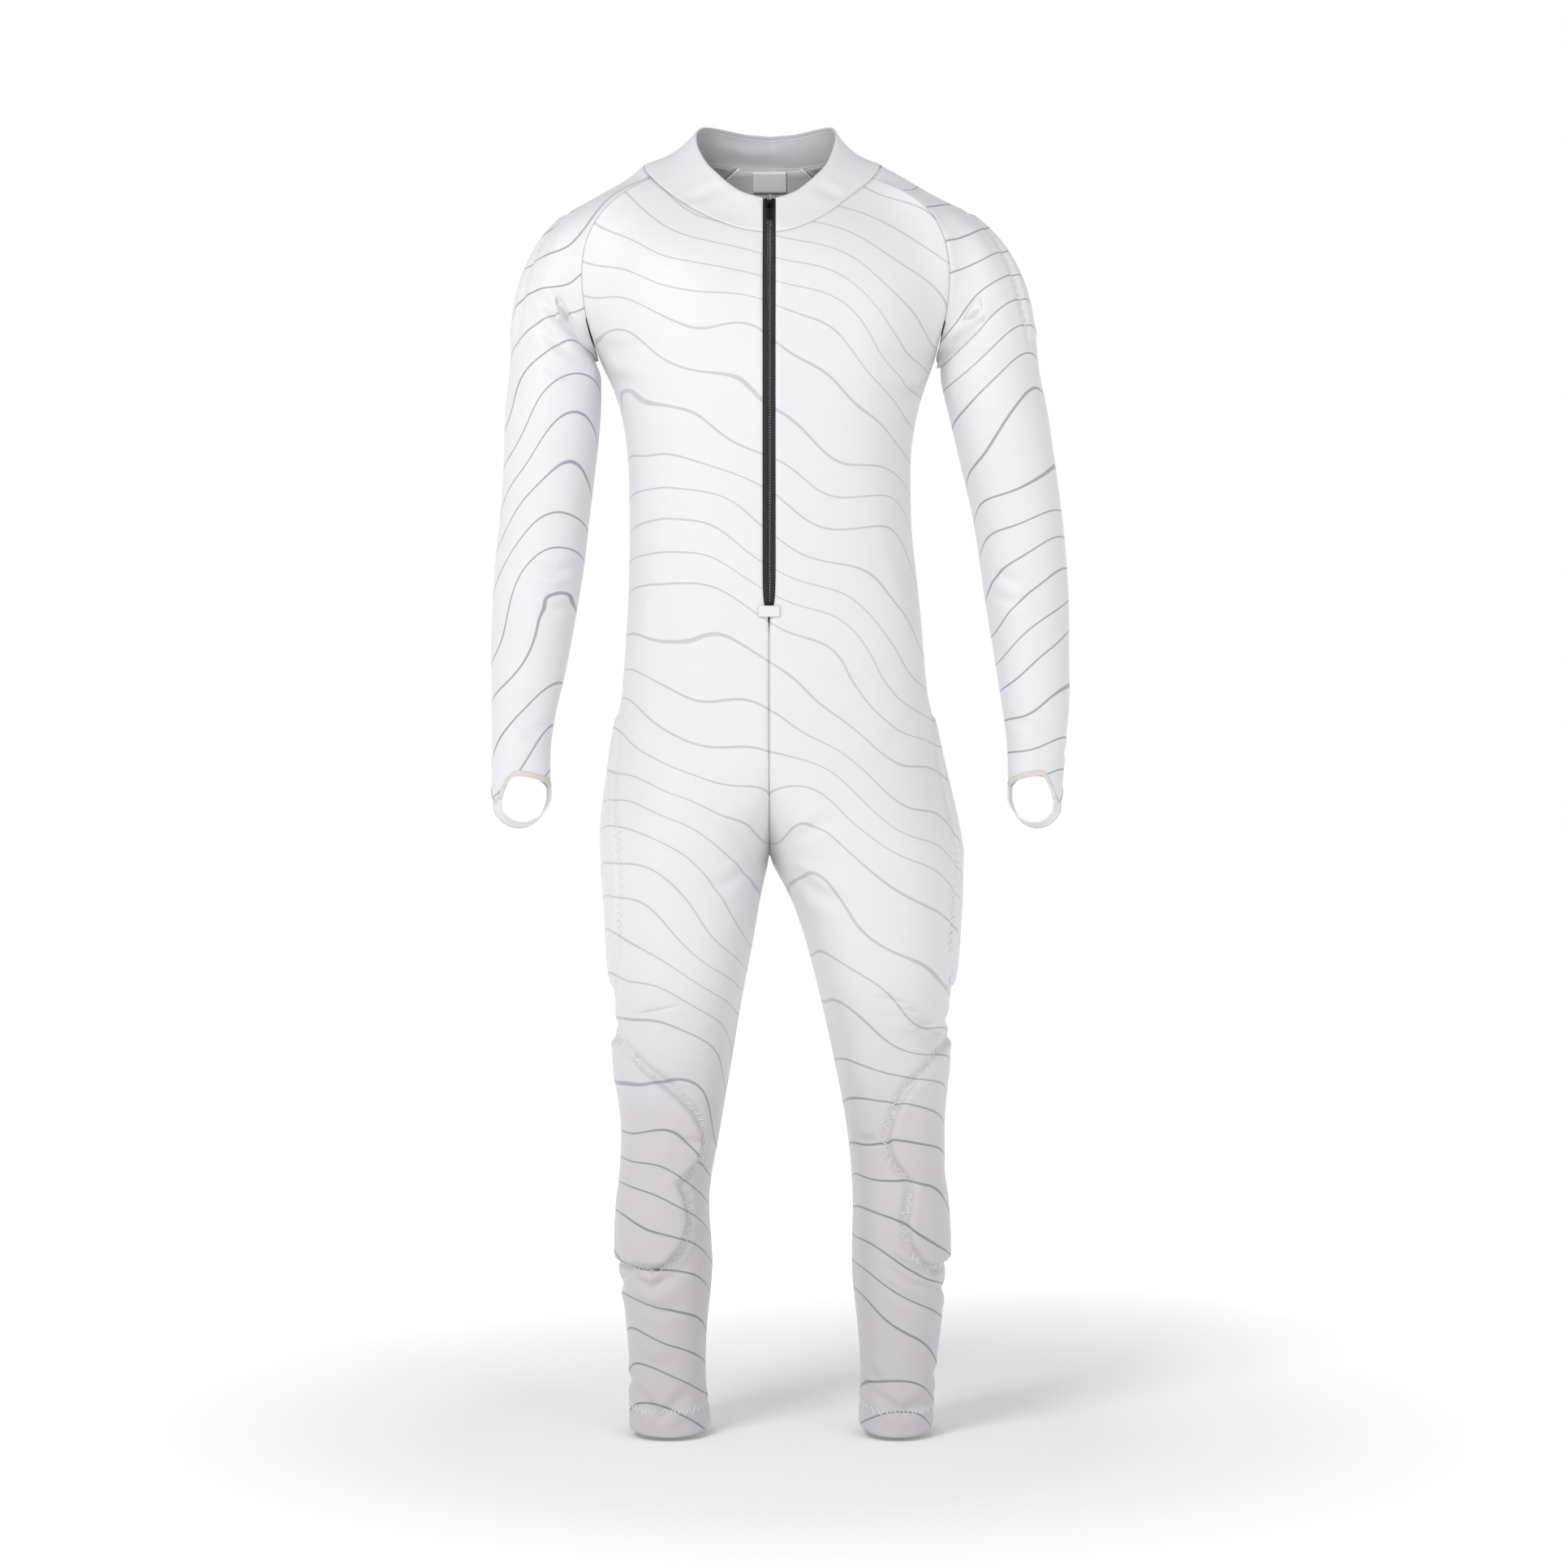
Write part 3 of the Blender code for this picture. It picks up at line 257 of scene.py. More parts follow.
def dress(cloth, finish, body, inside=None):
    """Finish a piece, with another material on the face towards the wearer if it has one."""
    cloth.data.materials.append(finish)
    if inside:
        cloth.data.materials.append(inside)
        middles = np.array([face.center for face in cloth.data.polygons])
        normals = np.array([face.normal for face in cloth.data.polygons])
        away = middles - core_line(middles, cloth.name)
        away /= np.maximum(np.linalg.norm(away, axis=1, keepdims=True), 1e-6)
        cloth.data.polygons.foreach_set("material_index",
                                        ((away * normals).sum(axis=1) < -0.3).astype(int))
    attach(cloth, body)


# Front and back panels
# Four cut pieces from collar to hem, sewn down the sides, the centre back and the inner legs.
# The fronts meet at the zip, and below it in the centre front seam.
FRONT_FOLDS = {
    "right": [
        ("front", [(-196, -214), (-170, -236), (-140, -246)], 2.6, 6),
        ("front", [(-190, -196), (-160, -208), (-128, -206)], 1.8, 7),
        ("front", [(-150, -540), (-110, -552), (-60, -548)], 1.3, 9),
        ("front", [(-158, -590), (-126, -628), (-84, -652)], 1.6, 9),
        ("front", [(-20, -742), (-52, -716), (-92, -704)], 2.2, 7),
        ("front", [(-18, -768), (-50, -790), (-84, -796)], 2.0, 7),
        ("front", [(-66, -1062), (-80, -1070), (-96, -1066)], 2.4, 5),
        ("front", [(-156, -1214), (-129, -1231), (-88, -1203)], 3.4, 6),
        ("front", [(-150, -1246), (-118, -1258), (-86, -1248)], 1.8, 6),
        ("front", [(-154, -1338), (-120, -1374), (-80, -1343)], 3.2, 6),
        ("front", [(-150, -1306), (-124, -1318), (-98, -1310)], 1.6, 7),
        ("right", [(-40, -952), (0, -944), (40, -950)], 2.0, 7),
        ("right", [(-30, -1222), (10, -1236), (44, -1226)], 2.4, 6),
        ("right", [(-20, -1330), (14, -1346), (40, -1338)], 2.2, 6),
    ],
    "left": [
        ("front", [(190, -216), (166, -240), (132, -252)], 2.8, 6),
        ("front", [(184, -198), (150, -212), (120, -214)], 1.6, 7),
        ("front", [(64, -556), (104, -566), (156, -552)], 1.4, 9),
        ("front", [(82, -660), (130, -640), (170, -604)], 1.5, 9),
        ("front", [(20, -744), (58, -722), (102, -716)], 2.0, 7),
        ("front", [(22, -770), (54, -800), (96, -812)], 2.2, 7),
        ("front", [(88, -1062), (104, -1070), (122, -1068)], 2.4, 5),
        ("front", [(130, -1193), (160, -1212), (194, -1216)], 2.6, 5),
        ("front", [(128, -1206), (158, -1228), (190, -1236)], 2.0, 5),
        ("front", [(124, -1222), (150, -1244), (178, -1252)], 1.6, 5),
        ("front", [(102, -1312), (114, -1330), (130, -1346)], 2.0, 5),
        ("front", [(103, -1341), (146, -1370), (182, -1352)], 3.2, 6),
        ("left", [(-44, -950), (-4, -938), (36, -946)], 2.0, 7),
        ("left", [(-26, -1226), (12, -1242), (46, -1230)], 2.4, 6),
        ("left", [(-22, -1322), (16, -1340), (42, -1334)], 2.0, 6),
    ],
}
BACK_FOLDS = {
    "right": [
        ("back", [(-176, -206), (-150, -230), (-112, -240)], 2.4, 7),
        ("back", [(-140, -470), (-90, -482), (-34, -476)], 1.6, 10),
        ("back", [(-150, -512), (-104, -530), (-44, -532)], 1.8, 10),
        ("back", [(-24, -762), (-70, -786), (-130, -780)], 3.0, 8),
        ("back", [(-40, -806), (-84, -826), (-140, -818)], 1.8, 8),
        ("back", [(-62, -1044), (-100, -1058), (-140, -1050)], 3.2, 6),
        ("back", [(-66, -1074), (-104, -1082), (-144, -1072)], 2.6, 6),
        ("back", [(-70, -1106), (-110, -1112), (-146, -1100)], 1.8, 7),
        ("back", [(-84, -1332), (-116, -1350), (-146, -1340)], 2.4, 6),
    ],
    "left": [
        ("back", [(172, -208), (144, -234), (108, -246)], 2.6, 7),
        ("back", [(36, -484), (92, -492), (146, -478)], 1.7, 10),
        ("back", [(40, -540), (100, -546), (158, -524)], 1.8, 10),
        ("back", [(26, -764), (78, -792), (146, -790)], 3.0, 8),
        ("back", [(44, -816), (96, -836), (160, -824)], 1.9, 8),
        ("back", [(84, -1040), (128, -1056), (168, -1046)], 3.0, 6),
        ("back", [(88, -1072), (130, -1084), (170, -1076)], 2.8, 6),
        ("back", [(92, -1104), (134, -1114), (168, -1106)], 1.9, 7),
        ("back", [(106, -1326), (140, -1346), (172, -1338)], 2.4, 6),
    ],
}
SEAM_DIP = 0.9 * MM

panels = {}
for side in SIDES:
    for face, folds, levels in (("front", FRONT_FOLDS, 3), ("back", BACK_FOLDS, 2)):
        node = face + "_" + side
        panel = cloth_from(node, face + "_panel_" + side, levels, SEAM_DIP)
        press_folds(panel, folds[side])
        dress(panel, body_knit, "suit", inside=lining)
        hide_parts(node)
        panels[node] = panel

# Sleeves
# Each raglan sleeve is one piece with a seam under the arm. It runs up over the shoulder to
# the collar and ends in an arched edge round the hand.
SLEEVE_FOLDS = {
    "right": [
        ("front", [(-264, -135), (-230, -170), (-194, -203)], 3.0, 6),
        ("front", [(-268, -165), (-238, -192), (-204, -216)], 2.4, 6),
        ("front", [(-262, -210), (-236, -226), (-206, -234)], 1.8, 6),
        ("front", [(-212, -438), (-232, -446), (-256, -442)], 2.0, 6),
        ("front", [(-214, -458), (-236, -468), (-262, -462)], 2.2, 6),
        ("front", [(-218, -480), (-238, -488), (-258, -486)], 1.6, 6),
        ("front", [(-238, -612), (-262, -622), (-292, -616)], 1.5, 6),
        ("back", [(-262, -140), (-228, -172), (-196, -196)], 2.6, 7),
        ("back", [(-268, -178), (-236, -200), (-206, -212)], 2.0, 7),
        ("back", [(-214, -424), (-246, -440), (-286, -430)], 2.6, 7),
        ("back", [(-218, -462), (-252, -474), (-290, -464)], 2.0, 7),
        ("right", [(-30, -640), (-18, -652), (0, -646)], 1.4, 5),
    ],
    "left": [
        ("front", [(258, -157), (222, -184), (188, -206)], 3.0, 6),
        ("front", [(236, -171), (210, -192), (186, -207)], 2.0, 5),
        ("front", [(262, -196), (230, -216), (200, -226)], 2.0, 6),
        ("front", [(242, -446), (268, -456), (296, -450)], 2.0, 6),
        ("front", [(244, -470), (270, -482), (300, -474)], 1.8, 6),
        ("front", [(260, -606), (284, -618), (310, -610)], 1.5, 6),
        ("back", [(256, -146), (222, -176), (192, -198)], 2.6, 7),
        ("back", [(262, -186), (230, -206), (200, -216)], 2.0, 7),
        ("back", [(246, -430), (276, -446), (314, -436)], 2.6, 7),
        ("back", [(250, -470), (280, -482), (316, -470)], 2.0, 7),
        ("left", [(-32, -636), (-18, -650), (2, -642)], 1.4, 5),
    ],
}

sleeves = {}
for side in SIDES:
    sleeve = cloth_from("sleeve_" + side, "raglan_sleeve_" + side, 3, SEAM_DIP)
    press_folds(sleeve, SLEEVE_FOLDS[side])
    dress(sleeve, sleeve_knit, "suit", inside=lining)
    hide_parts("sleeve_" + side)
    sleeves[side] = sleeve

# Collar
# A wide stand of the same knit, doubled and turned over at the top, sewn to all the panels
# and open at the front for the zip.
collar = cloth_from("collar", "stand_collar", 3, SEAM_DIP)
press_folds(collar, [
    ("front", [(-96, -46), (-70, -34), (-52, -26)], 1.2, 6),
    ("front", [(88, -42), (64, -32), (48, -22)], 1.2, 6),
    ("back", [(-60, 40), (-20, 34), (24, 38)], 1.0, 7),
])
dress(collar, plain_knit, "suit", inside=lining)
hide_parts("collar")

# Hand loops
# A narrow doubled band of the same knit at each cuff, sewn to the sleeve's longer side. It
# runs under the palm and keeps the sleeve from riding up.
def band_lines(node, shares):
    """Lines along a band at shares of its width, from the pairs of points of its outer face."""
    points = [v.co.copy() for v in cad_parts[node].data.vertices]
    middle = sum(points, Vector()) / len(points)
    middle.z = max(p.z for p in points)
    ring = []
    for p in points:
        if all((p - q[0]).length > 0.02 * MM for q in ring):
            ring.append((p, np.arctan2(p.x - middle.x, -(p.z - middle.z))))
    ring.sort(key=lambda pair: pair[1])
    rows = [ring[k:k + 4] for k in range(0, len(ring) - 3, 4)]
    lines = []
    for share in shares:
        line = []
        for row in rows:
            outer = sorted(row, key=lambda pair: -(pair[0] - middle).length)[:2]
            front, back = sorted((pair[0] for pair in outer), key=lambda p: p.y)
            spot = front + (back - front) * share
            away = Vector((spot.x - middle.x, 0, spot.z - middle.z)).normalized()
            line.append(tuple(spot + away * 2 * MM))
        lines.append(line)
    return lines


LOOP_LAP = 6 * MM             # the ends are sewn under the sleeve's edge by this much
LOOP_TUCK = 1.3 * MM
straps = {}
strap_lines = {}
for side in SIDES:
    strap_lines[side] = band_lines("wrist_strap_" + side, (0.22, 0.78))
    strap = cloth_from("wrist_strap_" + side, "hand_loop_" + side, 3)
    points = np.array([vertex.co for vertex in strap.data.vertices])
    middle_x = (points[:, 0].min() + points[:, 0].max()) / 2
    for arm in (-1, 1):
        mine = (points[:, 0] - middle_x) * arm > 12 * MM
        end = points[mine, 2].max()
        lap = np.clip((points[:, 2] - end + 9 * MM) / (7 * MM), 0, 1) * mine
        points[:, 2] += LOOP_LAP * lap
        points[:, 0] -= arm * LOOP_TUCK * lap
    strap.data.vertices.foreach_set("co", points.ravel())
    strap.data.update()
    dress(strap, plain_knit, "suit")
    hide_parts("wrist_strap_" + side)
    straps[side] = strap

# Foam pads
# Closed-cell foam between the shell and the lining at shoulders, forearms, hips and knees.
# They are seen only from inside, as grey shapes behind the lining.
foam, tree, shader = new_material("grey knit-faced foam", "#B9B9C0", 0.85)
place = add_node(tree, "ShaderNodeTexCoord").outputs["Object"]
knit_bump(tree, shader, place, 1.6 * MM, 0.2 * MM)
pads = {}
for side in SIDES:
    for kind in ("shoulder_pad", "forearm_pad", "hip_pad", "knee_pad"):
        node = kind + "_" + side
        pad = cloth_from(node, kind.replace("_pad", "_foam_") + side, 1)
        dress(pad, foam, "suit")
        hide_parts(node)
        pads[node] = pad

# Zip
# Fine coil zip on black woven tape, coated black. The slider is parked at the top under the
# collar's edge, with a plain pull tab hanging from its bail.
zip_cloth, tree, shader = new_material("black woven zip tape", "#1E1E20", 0.8)
place = add_node(tree, "ShaderNodeTexCoord").outputs["Object"]
knit_bump(tree, shader, place, 0.7 * MM, 0.15 * MM)
coated, tree, shader = new_material("black coated zip metal", "#1B1B1D", 0.34)
shader.inputs["Metallic"].default_value = 0.7
scuffs = add_node(tree, "ShaderNodeTexNoise", Scale=1 / (1.5 * MM), Detail=4.0)
tree.links.new(add_node(tree, "ShaderNodeTexCoord").outputs["Object"], scuffs.inputs["Vector"])
worn = add_node(tree, "ShaderNodeMapRange", [(scuffs.outputs["Fac"], "Value")])
for key, value in (("From Min", 0.35), ("From Max", 0.7), ("To Min", 0.26), ("To Max", 0.46)):
    worn.inputs[key].default_value = value
tree.links.new(worn.outputs["Result"], shader.inputs["Roughness"])
for side in SIDES:
    for node, finish in (("zip_tape_", zip_cloth), ("zip_top_stop_", coated)):
        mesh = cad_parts[node + side].data
        mesh.materials.clear()
        mesh.materials.append(finish)
for node in ("zip_slider", "zip_pull_tab", "zip_bottom_stop"):
    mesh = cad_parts[node].data
    mesh.materials.clear()
    mesh.materials.append(coated)

# Zip coil
# Two spirals of black polyester, one on each tape, hooked into each other. Each turn shows as
# a short bar that reaches just past the middle.
COIL_PITCH = 1.45 * MM
COIL_BAR = (2.9 * MM, 1.5 * MM, 0.95 * MM)
COIL_DEPTH = 1.05 * MM        # from the strip's face to its middle
coil_black, tree, shader = new_material("black polyester coil", "#232326", 0.42)
middle = []
for vertex in sorted(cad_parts["zip_chain"].data.vertices, key=lambda v: v.co.z):
    if middle and vertex.co.z - middle[-1][2] < 4 * MM:
        if vertex.co.y < middle[-1][1]:
            middle[-1] = [0, vertex.co.y, vertex.co.z]
    else:
        middle.append([0, vertex.co.y, vertex.co.z])
middle = np.array(middle) + np.array([0, COIL_DEPTH, 0])
bpy.ops.object.select_all(action="DESELECT")
bpy.ops.mesh.primitive_cube_add(size=1)
bar = bpy.context.object
bar.dimensions = COIL_BAR
bpy.ops.object.transform_apply(location=False, rotation=False, scale=True)
bpy.ops.object.mode_set(mode="EDIT")
bpy.ops.mesh.select_all(action="SELECT")
bpy.ops.mesh.bevel(offset=0.38 * MM, segments=2)
bpy.ops.object.mode_set(mode="OBJECT")
bm = bmesh.new()
reach = np.concatenate([[0], np.cumsum(np.linalg.norm(np.diff(middle, axis=0), axis=1))])
for k in range(int(reach[-1] / COIL_PITCH)):
    at = (k + 0.5) * COIL_PITCH
    spot = Vector([np.interp(at, reach, middle[:, axis]) for axis in range(3)])
    ahead = Vector([np.interp(min(at + 0.004, reach[-1]), reach, middle[:, axis])
                    for axis in range(3)])
    back = Vector([np.interp(max(at - 0.004, 0), reach, middle[:, axis]) for axis in range(3)])
    lean = (ahead - back).normalized().to_track_quat("Y", "Z").to_matrix().to_4x4()
    side = -1 if k % 2 else 1
    lean.translation = spot
    first = len(bm.verts)
    bm.from_mesh(bar.data)
    bm.verts.ensure_lookup_table()
    for vertex in bm.verts[first:]:
        vertex.co.x += side * 0.75 * MM
        vertex.co.y += side * vertex.co.x * 0.10
        vertex.co = lean @ vertex.co
coil_mesh = bpy.data.meshes.new("zip_coil")
bm.to_mesh(coil_mesh)
bm.free()
bpy.data.objects.remove(bar)
coil = bpy.data.objects.new("zip_coil", coil_mesh)
bpy.context.scene.collection.objects.link(coil)
coil_mesh.shade_smooth()
dress(coil, coil_black, "suit")
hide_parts("zip_chain")

# Thread
# Bright white polyester, laid as zigzags where stretch is wanted and as straight stitches
# beside the zip. Each row is a fine tube that lies on the cloth.
thread, tree, shader = new_material("white polyester thread", "#EFEFF1", 0.42)
shader.inputs["Sheen Weight"].default_value = 0.3


def evenly(points, pitch, closed):
    """Points a pitch apart on a smooth curve through the given ones."""
    points = np.array(points, float)
    if closed:
        points = np.concatenate([points[-1:], points, points[:2]])
    else:
        points = np.concatenate([2 * points[:1] - points[1:2], points,
                                 2 * points[-1:] - points[-2:-1]])
    fine = []
    for k in range(1, len(points) - 2):
        a, b, c, d = points[k - 1:k + 3]
        for t in np.linspace(0, 1, 12, endpoint=False):
            fine.append(b + 0.5 * t * (c - a) + t * t * (a - 2.5 * b + 2 * c - 0.5 * d)
                        + 0.5 * t**3 * (-a + 3 * b - 3 * c + d))
    fine.append(points[-2])
    fine = np.array(fine)
    reach = np.concatenate([[0], np.cumsum(np.linalg.norm(np.diff(fine, axis=0), axis=1))])
    marks = np.linspace(0, reach[-1], max(int(reach[-1] / pitch), 4) + 1)
    return np.stack([np.interp(marks, reach, fine[:, k]) for k in range(3)], axis=1)


def on_cloth(cloths, point):
    """The nearest place on any of the cloths, and the way the cloth faces there."""
    best = None
    for cloth in cloths:
        found, spot, normal, _ = cloth.closest_point_on_mesh(Vector(point))
        if found and (best is None or (spot - Vector(point)).length < best[0]):
            best = ((spot - Vector(point)).length, spot, normal)
    return best[1], best[2]


def sew(name, route, cloths, width, pitch, size=0.45 * MM, closed=False, dashed=False,
        finish=None, slot="shell_cloth"):
    """A row of zigzag or straight stitches along a route, lying on the cloths."""
    spots = [on_cloth(cloths, point) for point in evenly(route, pitch, closed)]
    curve = bpy.data.curves.new(name, "CURVE")
    curve.dimensions = "3D"
    curve.bevel_depth = size / 2
    curve.bevel_resolution = 0
    curve.use_fill_caps = dashed
    runs = []
    line = []
    for k, (spot, normal) in enumerate(spots):
        ahead = spots[min(k + 1, len(spots) - 1)][0] - spots[max(k - 1, 0)][0]
        across = normal.cross(ahead).normalized()
        if dashed:
            step = ahead.normalized() * pitch * 0.38
            rise = normal * size * 0.35
            runs.append([spot - step - rise, spot + rise, spot + step - rise])
        else:
            turn = spot + across * width / 2 * (1 if k % 2 else -1)
            for t in (1 / 3, 2 / 3, 1) if k else (1,):
                place, normal = on_cloth(cloths, last.lerp(turn, t) if k else turn)
                line.append(place + normal * size * 0.4)
            last = turn
    for run in runs or [line]:
        spline = curve.splines.new("POLY")
        spline.points.add(len(run) - 1)
        for point, place in zip(spline.points, run):
            point.co = (*place, 1)
    row = bpy.data.objects.new(name, curve)
    bpy.context.scene.collection.objects.link(row)
    bpy.ops.object.select_all(action="DESELECT")
    row.select_set(True)
    bpy.context.view_layer.objects.active = row
    bpy.ops.object.convert(target="MESH")
    row.data.shade_smooth()
    dress(row, finish or thread, "suit")
    return row


# Stitching round the pads
# A zigzag follows each pad's outline and holds it between the shell and the lining.
PAD_MARGIN = 8 * MM
ZIGZAG = (7.0 * MM, 4.2 * MM)
GROOVE_DEPTH = {"hip_pad": 1.3 * MM, "knee_pad": 3.4 * MM, "forearm_pad": 1.7 * MM,
                "shoulder_pad": 1.6 * MM}
GROOVE_WIDTH = 4.6 * MM
PUCKER_PITCH = 9.5 * MM


def pad_outline(node, core):
    """The pad's inner rim in order, moved out to the foot of the slope that the shell makes."""
    bm = bmesh.new()
    bm.from_mesh(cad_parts[node].data)
    bmesh.ops.remove_doubles(bm, verts=bm.verts[:], dist=0.02 * MM)
    kind = {}
    for face in bm.faces:
        middle = face.calc_center_median()
        away = (middle - core(middle)).normalized()
        lean = face.normal.dot(away)
        kind[face] = "inner" if lean < -0.5 else "outer" if lean > 0.5 else "rim"
    nearby = {}
    for edge in bm.edges:
        kinds = sorted(kind[face] for face in edge.link_faces)
        if kinds == ["inner", "rim"]:
            for a, b in (tuple(edge.verts), tuple(edge.verts)[::-1]):
                nearby.setdefault(a, []).append(b)
    start = next(iter(nearby))
    ring, last, here = [start], None, start
    while True:
        onward = [v for v in nearby[here] if v != last and (v == start or v not in ring)]
        if not onward or (onward[0] == start and len(ring) > 2):
            break
        last, here = here, onward[0]
        ring.append(here)
    out = []
    for vertex in ring:
        push = Vector((0, 0, 0))
        for face in vertex.link_faces:
            if kind[face] == "rim":
                push += face.normal
        out.append(vertex.co + push.normalized() * PAD_MARGIN)
    bm.free()
    return [tuple(p) for p in out]


def press_outline(cloth, route, pad, depth):
    """Lift the cloth over a pad and draw it in along the stitches, with small uneven puckers."""
    co, out = outward(cloth)
    points = np.array(route + route[:1])
    near, at, start = np.full(len(co), 9.0), np.zeros(len(co)), 0
    for a, b in zip(points[:-1], points[1:]):
        length = np.linalg.norm(b - a)
        t = np.clip(((co - a) @ (b - a)) / max(length, 1e-6)**2, 0, 1)
        away = np.linalg.norm(co - a - t[:, None] * (b - a), axis=1)
        better = away < near
        near[better] = away[better]
        at[better] = (start + t * length)[better]
        start += length
    over = np.full(len(co), 1.0)
    for k in np.nonzero(near < 0.12)[0]:
        over[k] = (pad.closest_point_on_mesh(co[k])[1] - Vector(co[k])).length
    lift = 1 - np.clip((over - 1.6 * MM) / (7.0 * MM), 0, 1)
    pucker = np.sin(2 * pi * at / PUCKER_PITCH + 1.7 * np.sin(at / 0.031))
    move = -depth * np.exp(-(near / GROOVE_WIDTH) ** 2)
    move += 0.35 * depth * np.exp(-((near - 2.2 * GROOVE_WIDTH) / GROOVE_WIDTH) ** 2)
    move += 0.9 * depth * lift * lift * (3 - 2 * lift)
    move += 0.5 * MM * pucker * np.exp(-((near - 5 * MM) / (5 * MM)) ** 2)
    cloth.data.vertices.foreach_set("co", (co + out * move[:, None]).ravel())
    cloth.data.update()


for side, sign in SIDES.items():
    leg = Vector((sign * (0.105 if sign < 0 else 0.130), 0.005, 0))
    arm = Vector((sign * (0.262 if sign < 0 else 0.286), 0.0, 0))
    shoulder = Vector((sign * 0.19, 0.0, -0.20))
    cores = {
        "hip_pad": lambda p: Vector((leg.x * 0.7, leg.y, p.z)),
        "knee_pad": lambda p: Vector((leg.x, leg.y, p.z)),
        "forearm_pad": lambda p: Vector((arm.x, arm.y, p.z)),
        "shoulder_pad": lambda p: shoulder,
    }
    for kind_name, core in cores.items():
        cloths = ([sleeves[side]] if kind_name in ("forearm_pad", "shoulder_pad")
                  else [panels["front_" + side], panels["back_" + side]])
        route = pad_outline(kind_name + "_" + side, core)
        for cloth in cloths:
            press_outline(cloth, route, pads[kind_name + "_" + side], GROOVE_DEPTH[kind_name])
        sew(kind_name.replace("_pad", "_zigzag_") + side, route, cloths, *ZIGZAG,
            size=0.95 * MM, closed=True)

# Hems
# The leg ends are turned up and held by a wide zigzag.
LEG_REACH = 0.11              # from outside the trouser leg to its middle
HEM_CENTRES = {"right": Vector((-0.112, 0.014, 0)), "left": Vector((0.141, 0.014, 0))}
TURN_UP = 24 * MM


def round_leg(side, height, drop):
    """Points on the outside of a leg at a height, lower in front by the hem's drop."""
    points = []
    for angle in np.linspace(0, 2 * pi, 40, endpoint=False):
        way = Vector((cos(angle), sin(angle), 0))
        lift = drop * np.clip(way.y * 1.1, -1, 0.4)
        start = HEM_CENTRES[side] + way * LEG_REACH + Vector((0, 0, height + lift))
        hits = []
        for face in ("front_", "back_"):
            found, spot, _, _ = panels[face + side].ray_cast(start, -way, distance=LEG_REACH)
            if found:
                hits.append(spot)
        if hits:
            points.append(tuple(min(hits, key=lambda spot: (spot - start).length)))
    return points


for side in SIDES:
    cloths = [panels["front_" + side], panels["back_" + side]]
    sew("hem_zigzag_" + side, round_leg(side, -1.386 + TURN_UP, 8 * MM), cloths, 8.5 * MM,
        4.6 * MM, size=0.95 * MM, closed=True)

# Topstitching beside the zip and down the centre front
# One row each side holds the turned edges of the fronts, and a bar closes them off below.
for side, sign in SIDES.items():
    front = [panels["front_" + side]]
    for name, across, top, low in (("zip_topstitch_", 11.5, -90, -494),
                                   ("centre_stitch_", 2.6, -502, -738)):
        route = [(sign * across * MM, -0.125, z * MM) for z in np.linspace(top, low, 24)]
        sew(name + side, route, front, 0, 2.9 * MM, dashed=True)

# Zip end patch
# A small doubled piece of the shell cloth closes the zip off below, stitched all round.
PATCH = (24 * MM, 12 * MM)
PATCH_TOP = -488 * MM
sides_of_zip = [panels["front_right"], panels["front_left"]]
bpy.ops.object.select_all(action="DESELECT")
bpy.ops.mesh.primitive_grid_add(x_subdivisions=12, y_subdivisions=6, size=1)
patch = bpy.context.object
patch.name = patch.data.name = "zip_end_patch"
for vertex in patch.data.vertices:
    across, up = vertex.co.x, vertex.co.y
    z = PATCH_TOP + (up - 0.5) * PATCH[1]
    edge_y = min(on_cloth(sides_of_zip, (end * PATCH[0] / 2, -0.12, z))[0].y for end in (-1, 1))
    crown = 0.7 * MM * (1 - (2 * across)**2)
    vertex.co = (across * PATCH[0], edge_y - 0.7 * MM - crown, z)
thick = patch.modifiers.new("Solidify", "SOLIDIFY")
thick.thickness = 0.7 * MM
thick.offset = 0
bpy.ops.object.modifier_apply(modifier=thick.name)
patch.data.shade_smooth()
dress(patch, plain_knit, "suit")
inset = [(x * (PATCH[0] / 2 - 1.8 * MM), -0.13, PATCH_TOP - PATCH[1] / 2 + z * (PATCH[1] / 2 - 1.8 * MM))
         for x, z in ((-1, 1), (-0.33, 1), (0.33, 1), (1, 1), (1, -1), (0.33, -1), (-0.33, -1), (-1, -1))]
sew("zip_patch_stitch", inset, [patch], 0, 2.0 * MM, closed=True, dashed=True)

# Collar stitching
# A cover stitch runs round the inside of the collar, just under its folded top edge.
def rim_points(cloth_node, lean, low, high):
    """Middles of the narrow faces along an edge that faces up or down, with the way they face."""
    bm = bmesh.new()
    bm.from_mesh(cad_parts[cloth_node].data)
    found = []
    for face in bm.faces:
        middle = face.calc_center_median()
        if (min(edge.calc_length() for edge in face.edges) < 2.2 * MM
                and face.normal.z * lean > 0.3 and low < middle.z < high):
            found.append((middle.copy(), face.normal.copy()))
    bm.free()
    return found


top_edge = sorted(rim_points("collar", 1, -0.06, 0.08),
                  key=lambda pair: np.arctan2(pair[0].x, pair[0].y - 0.01))
for row, drop in enumerate((3.2 * MM, 6.4 * MM)):
    route = []
    for middle, normal in top_edge[::2]:
        inward = Vector((0, 0.01, middle.z)) - middle
        inward.z = 0
        route.append(tuple(middle - normal * drop + inward.normalized() * 3 * MM))
    sew("collar_cover_stitch_%d" % row, route, [collar], 0.9 * MM, 1.3 * MM, size=0.4 * MM)

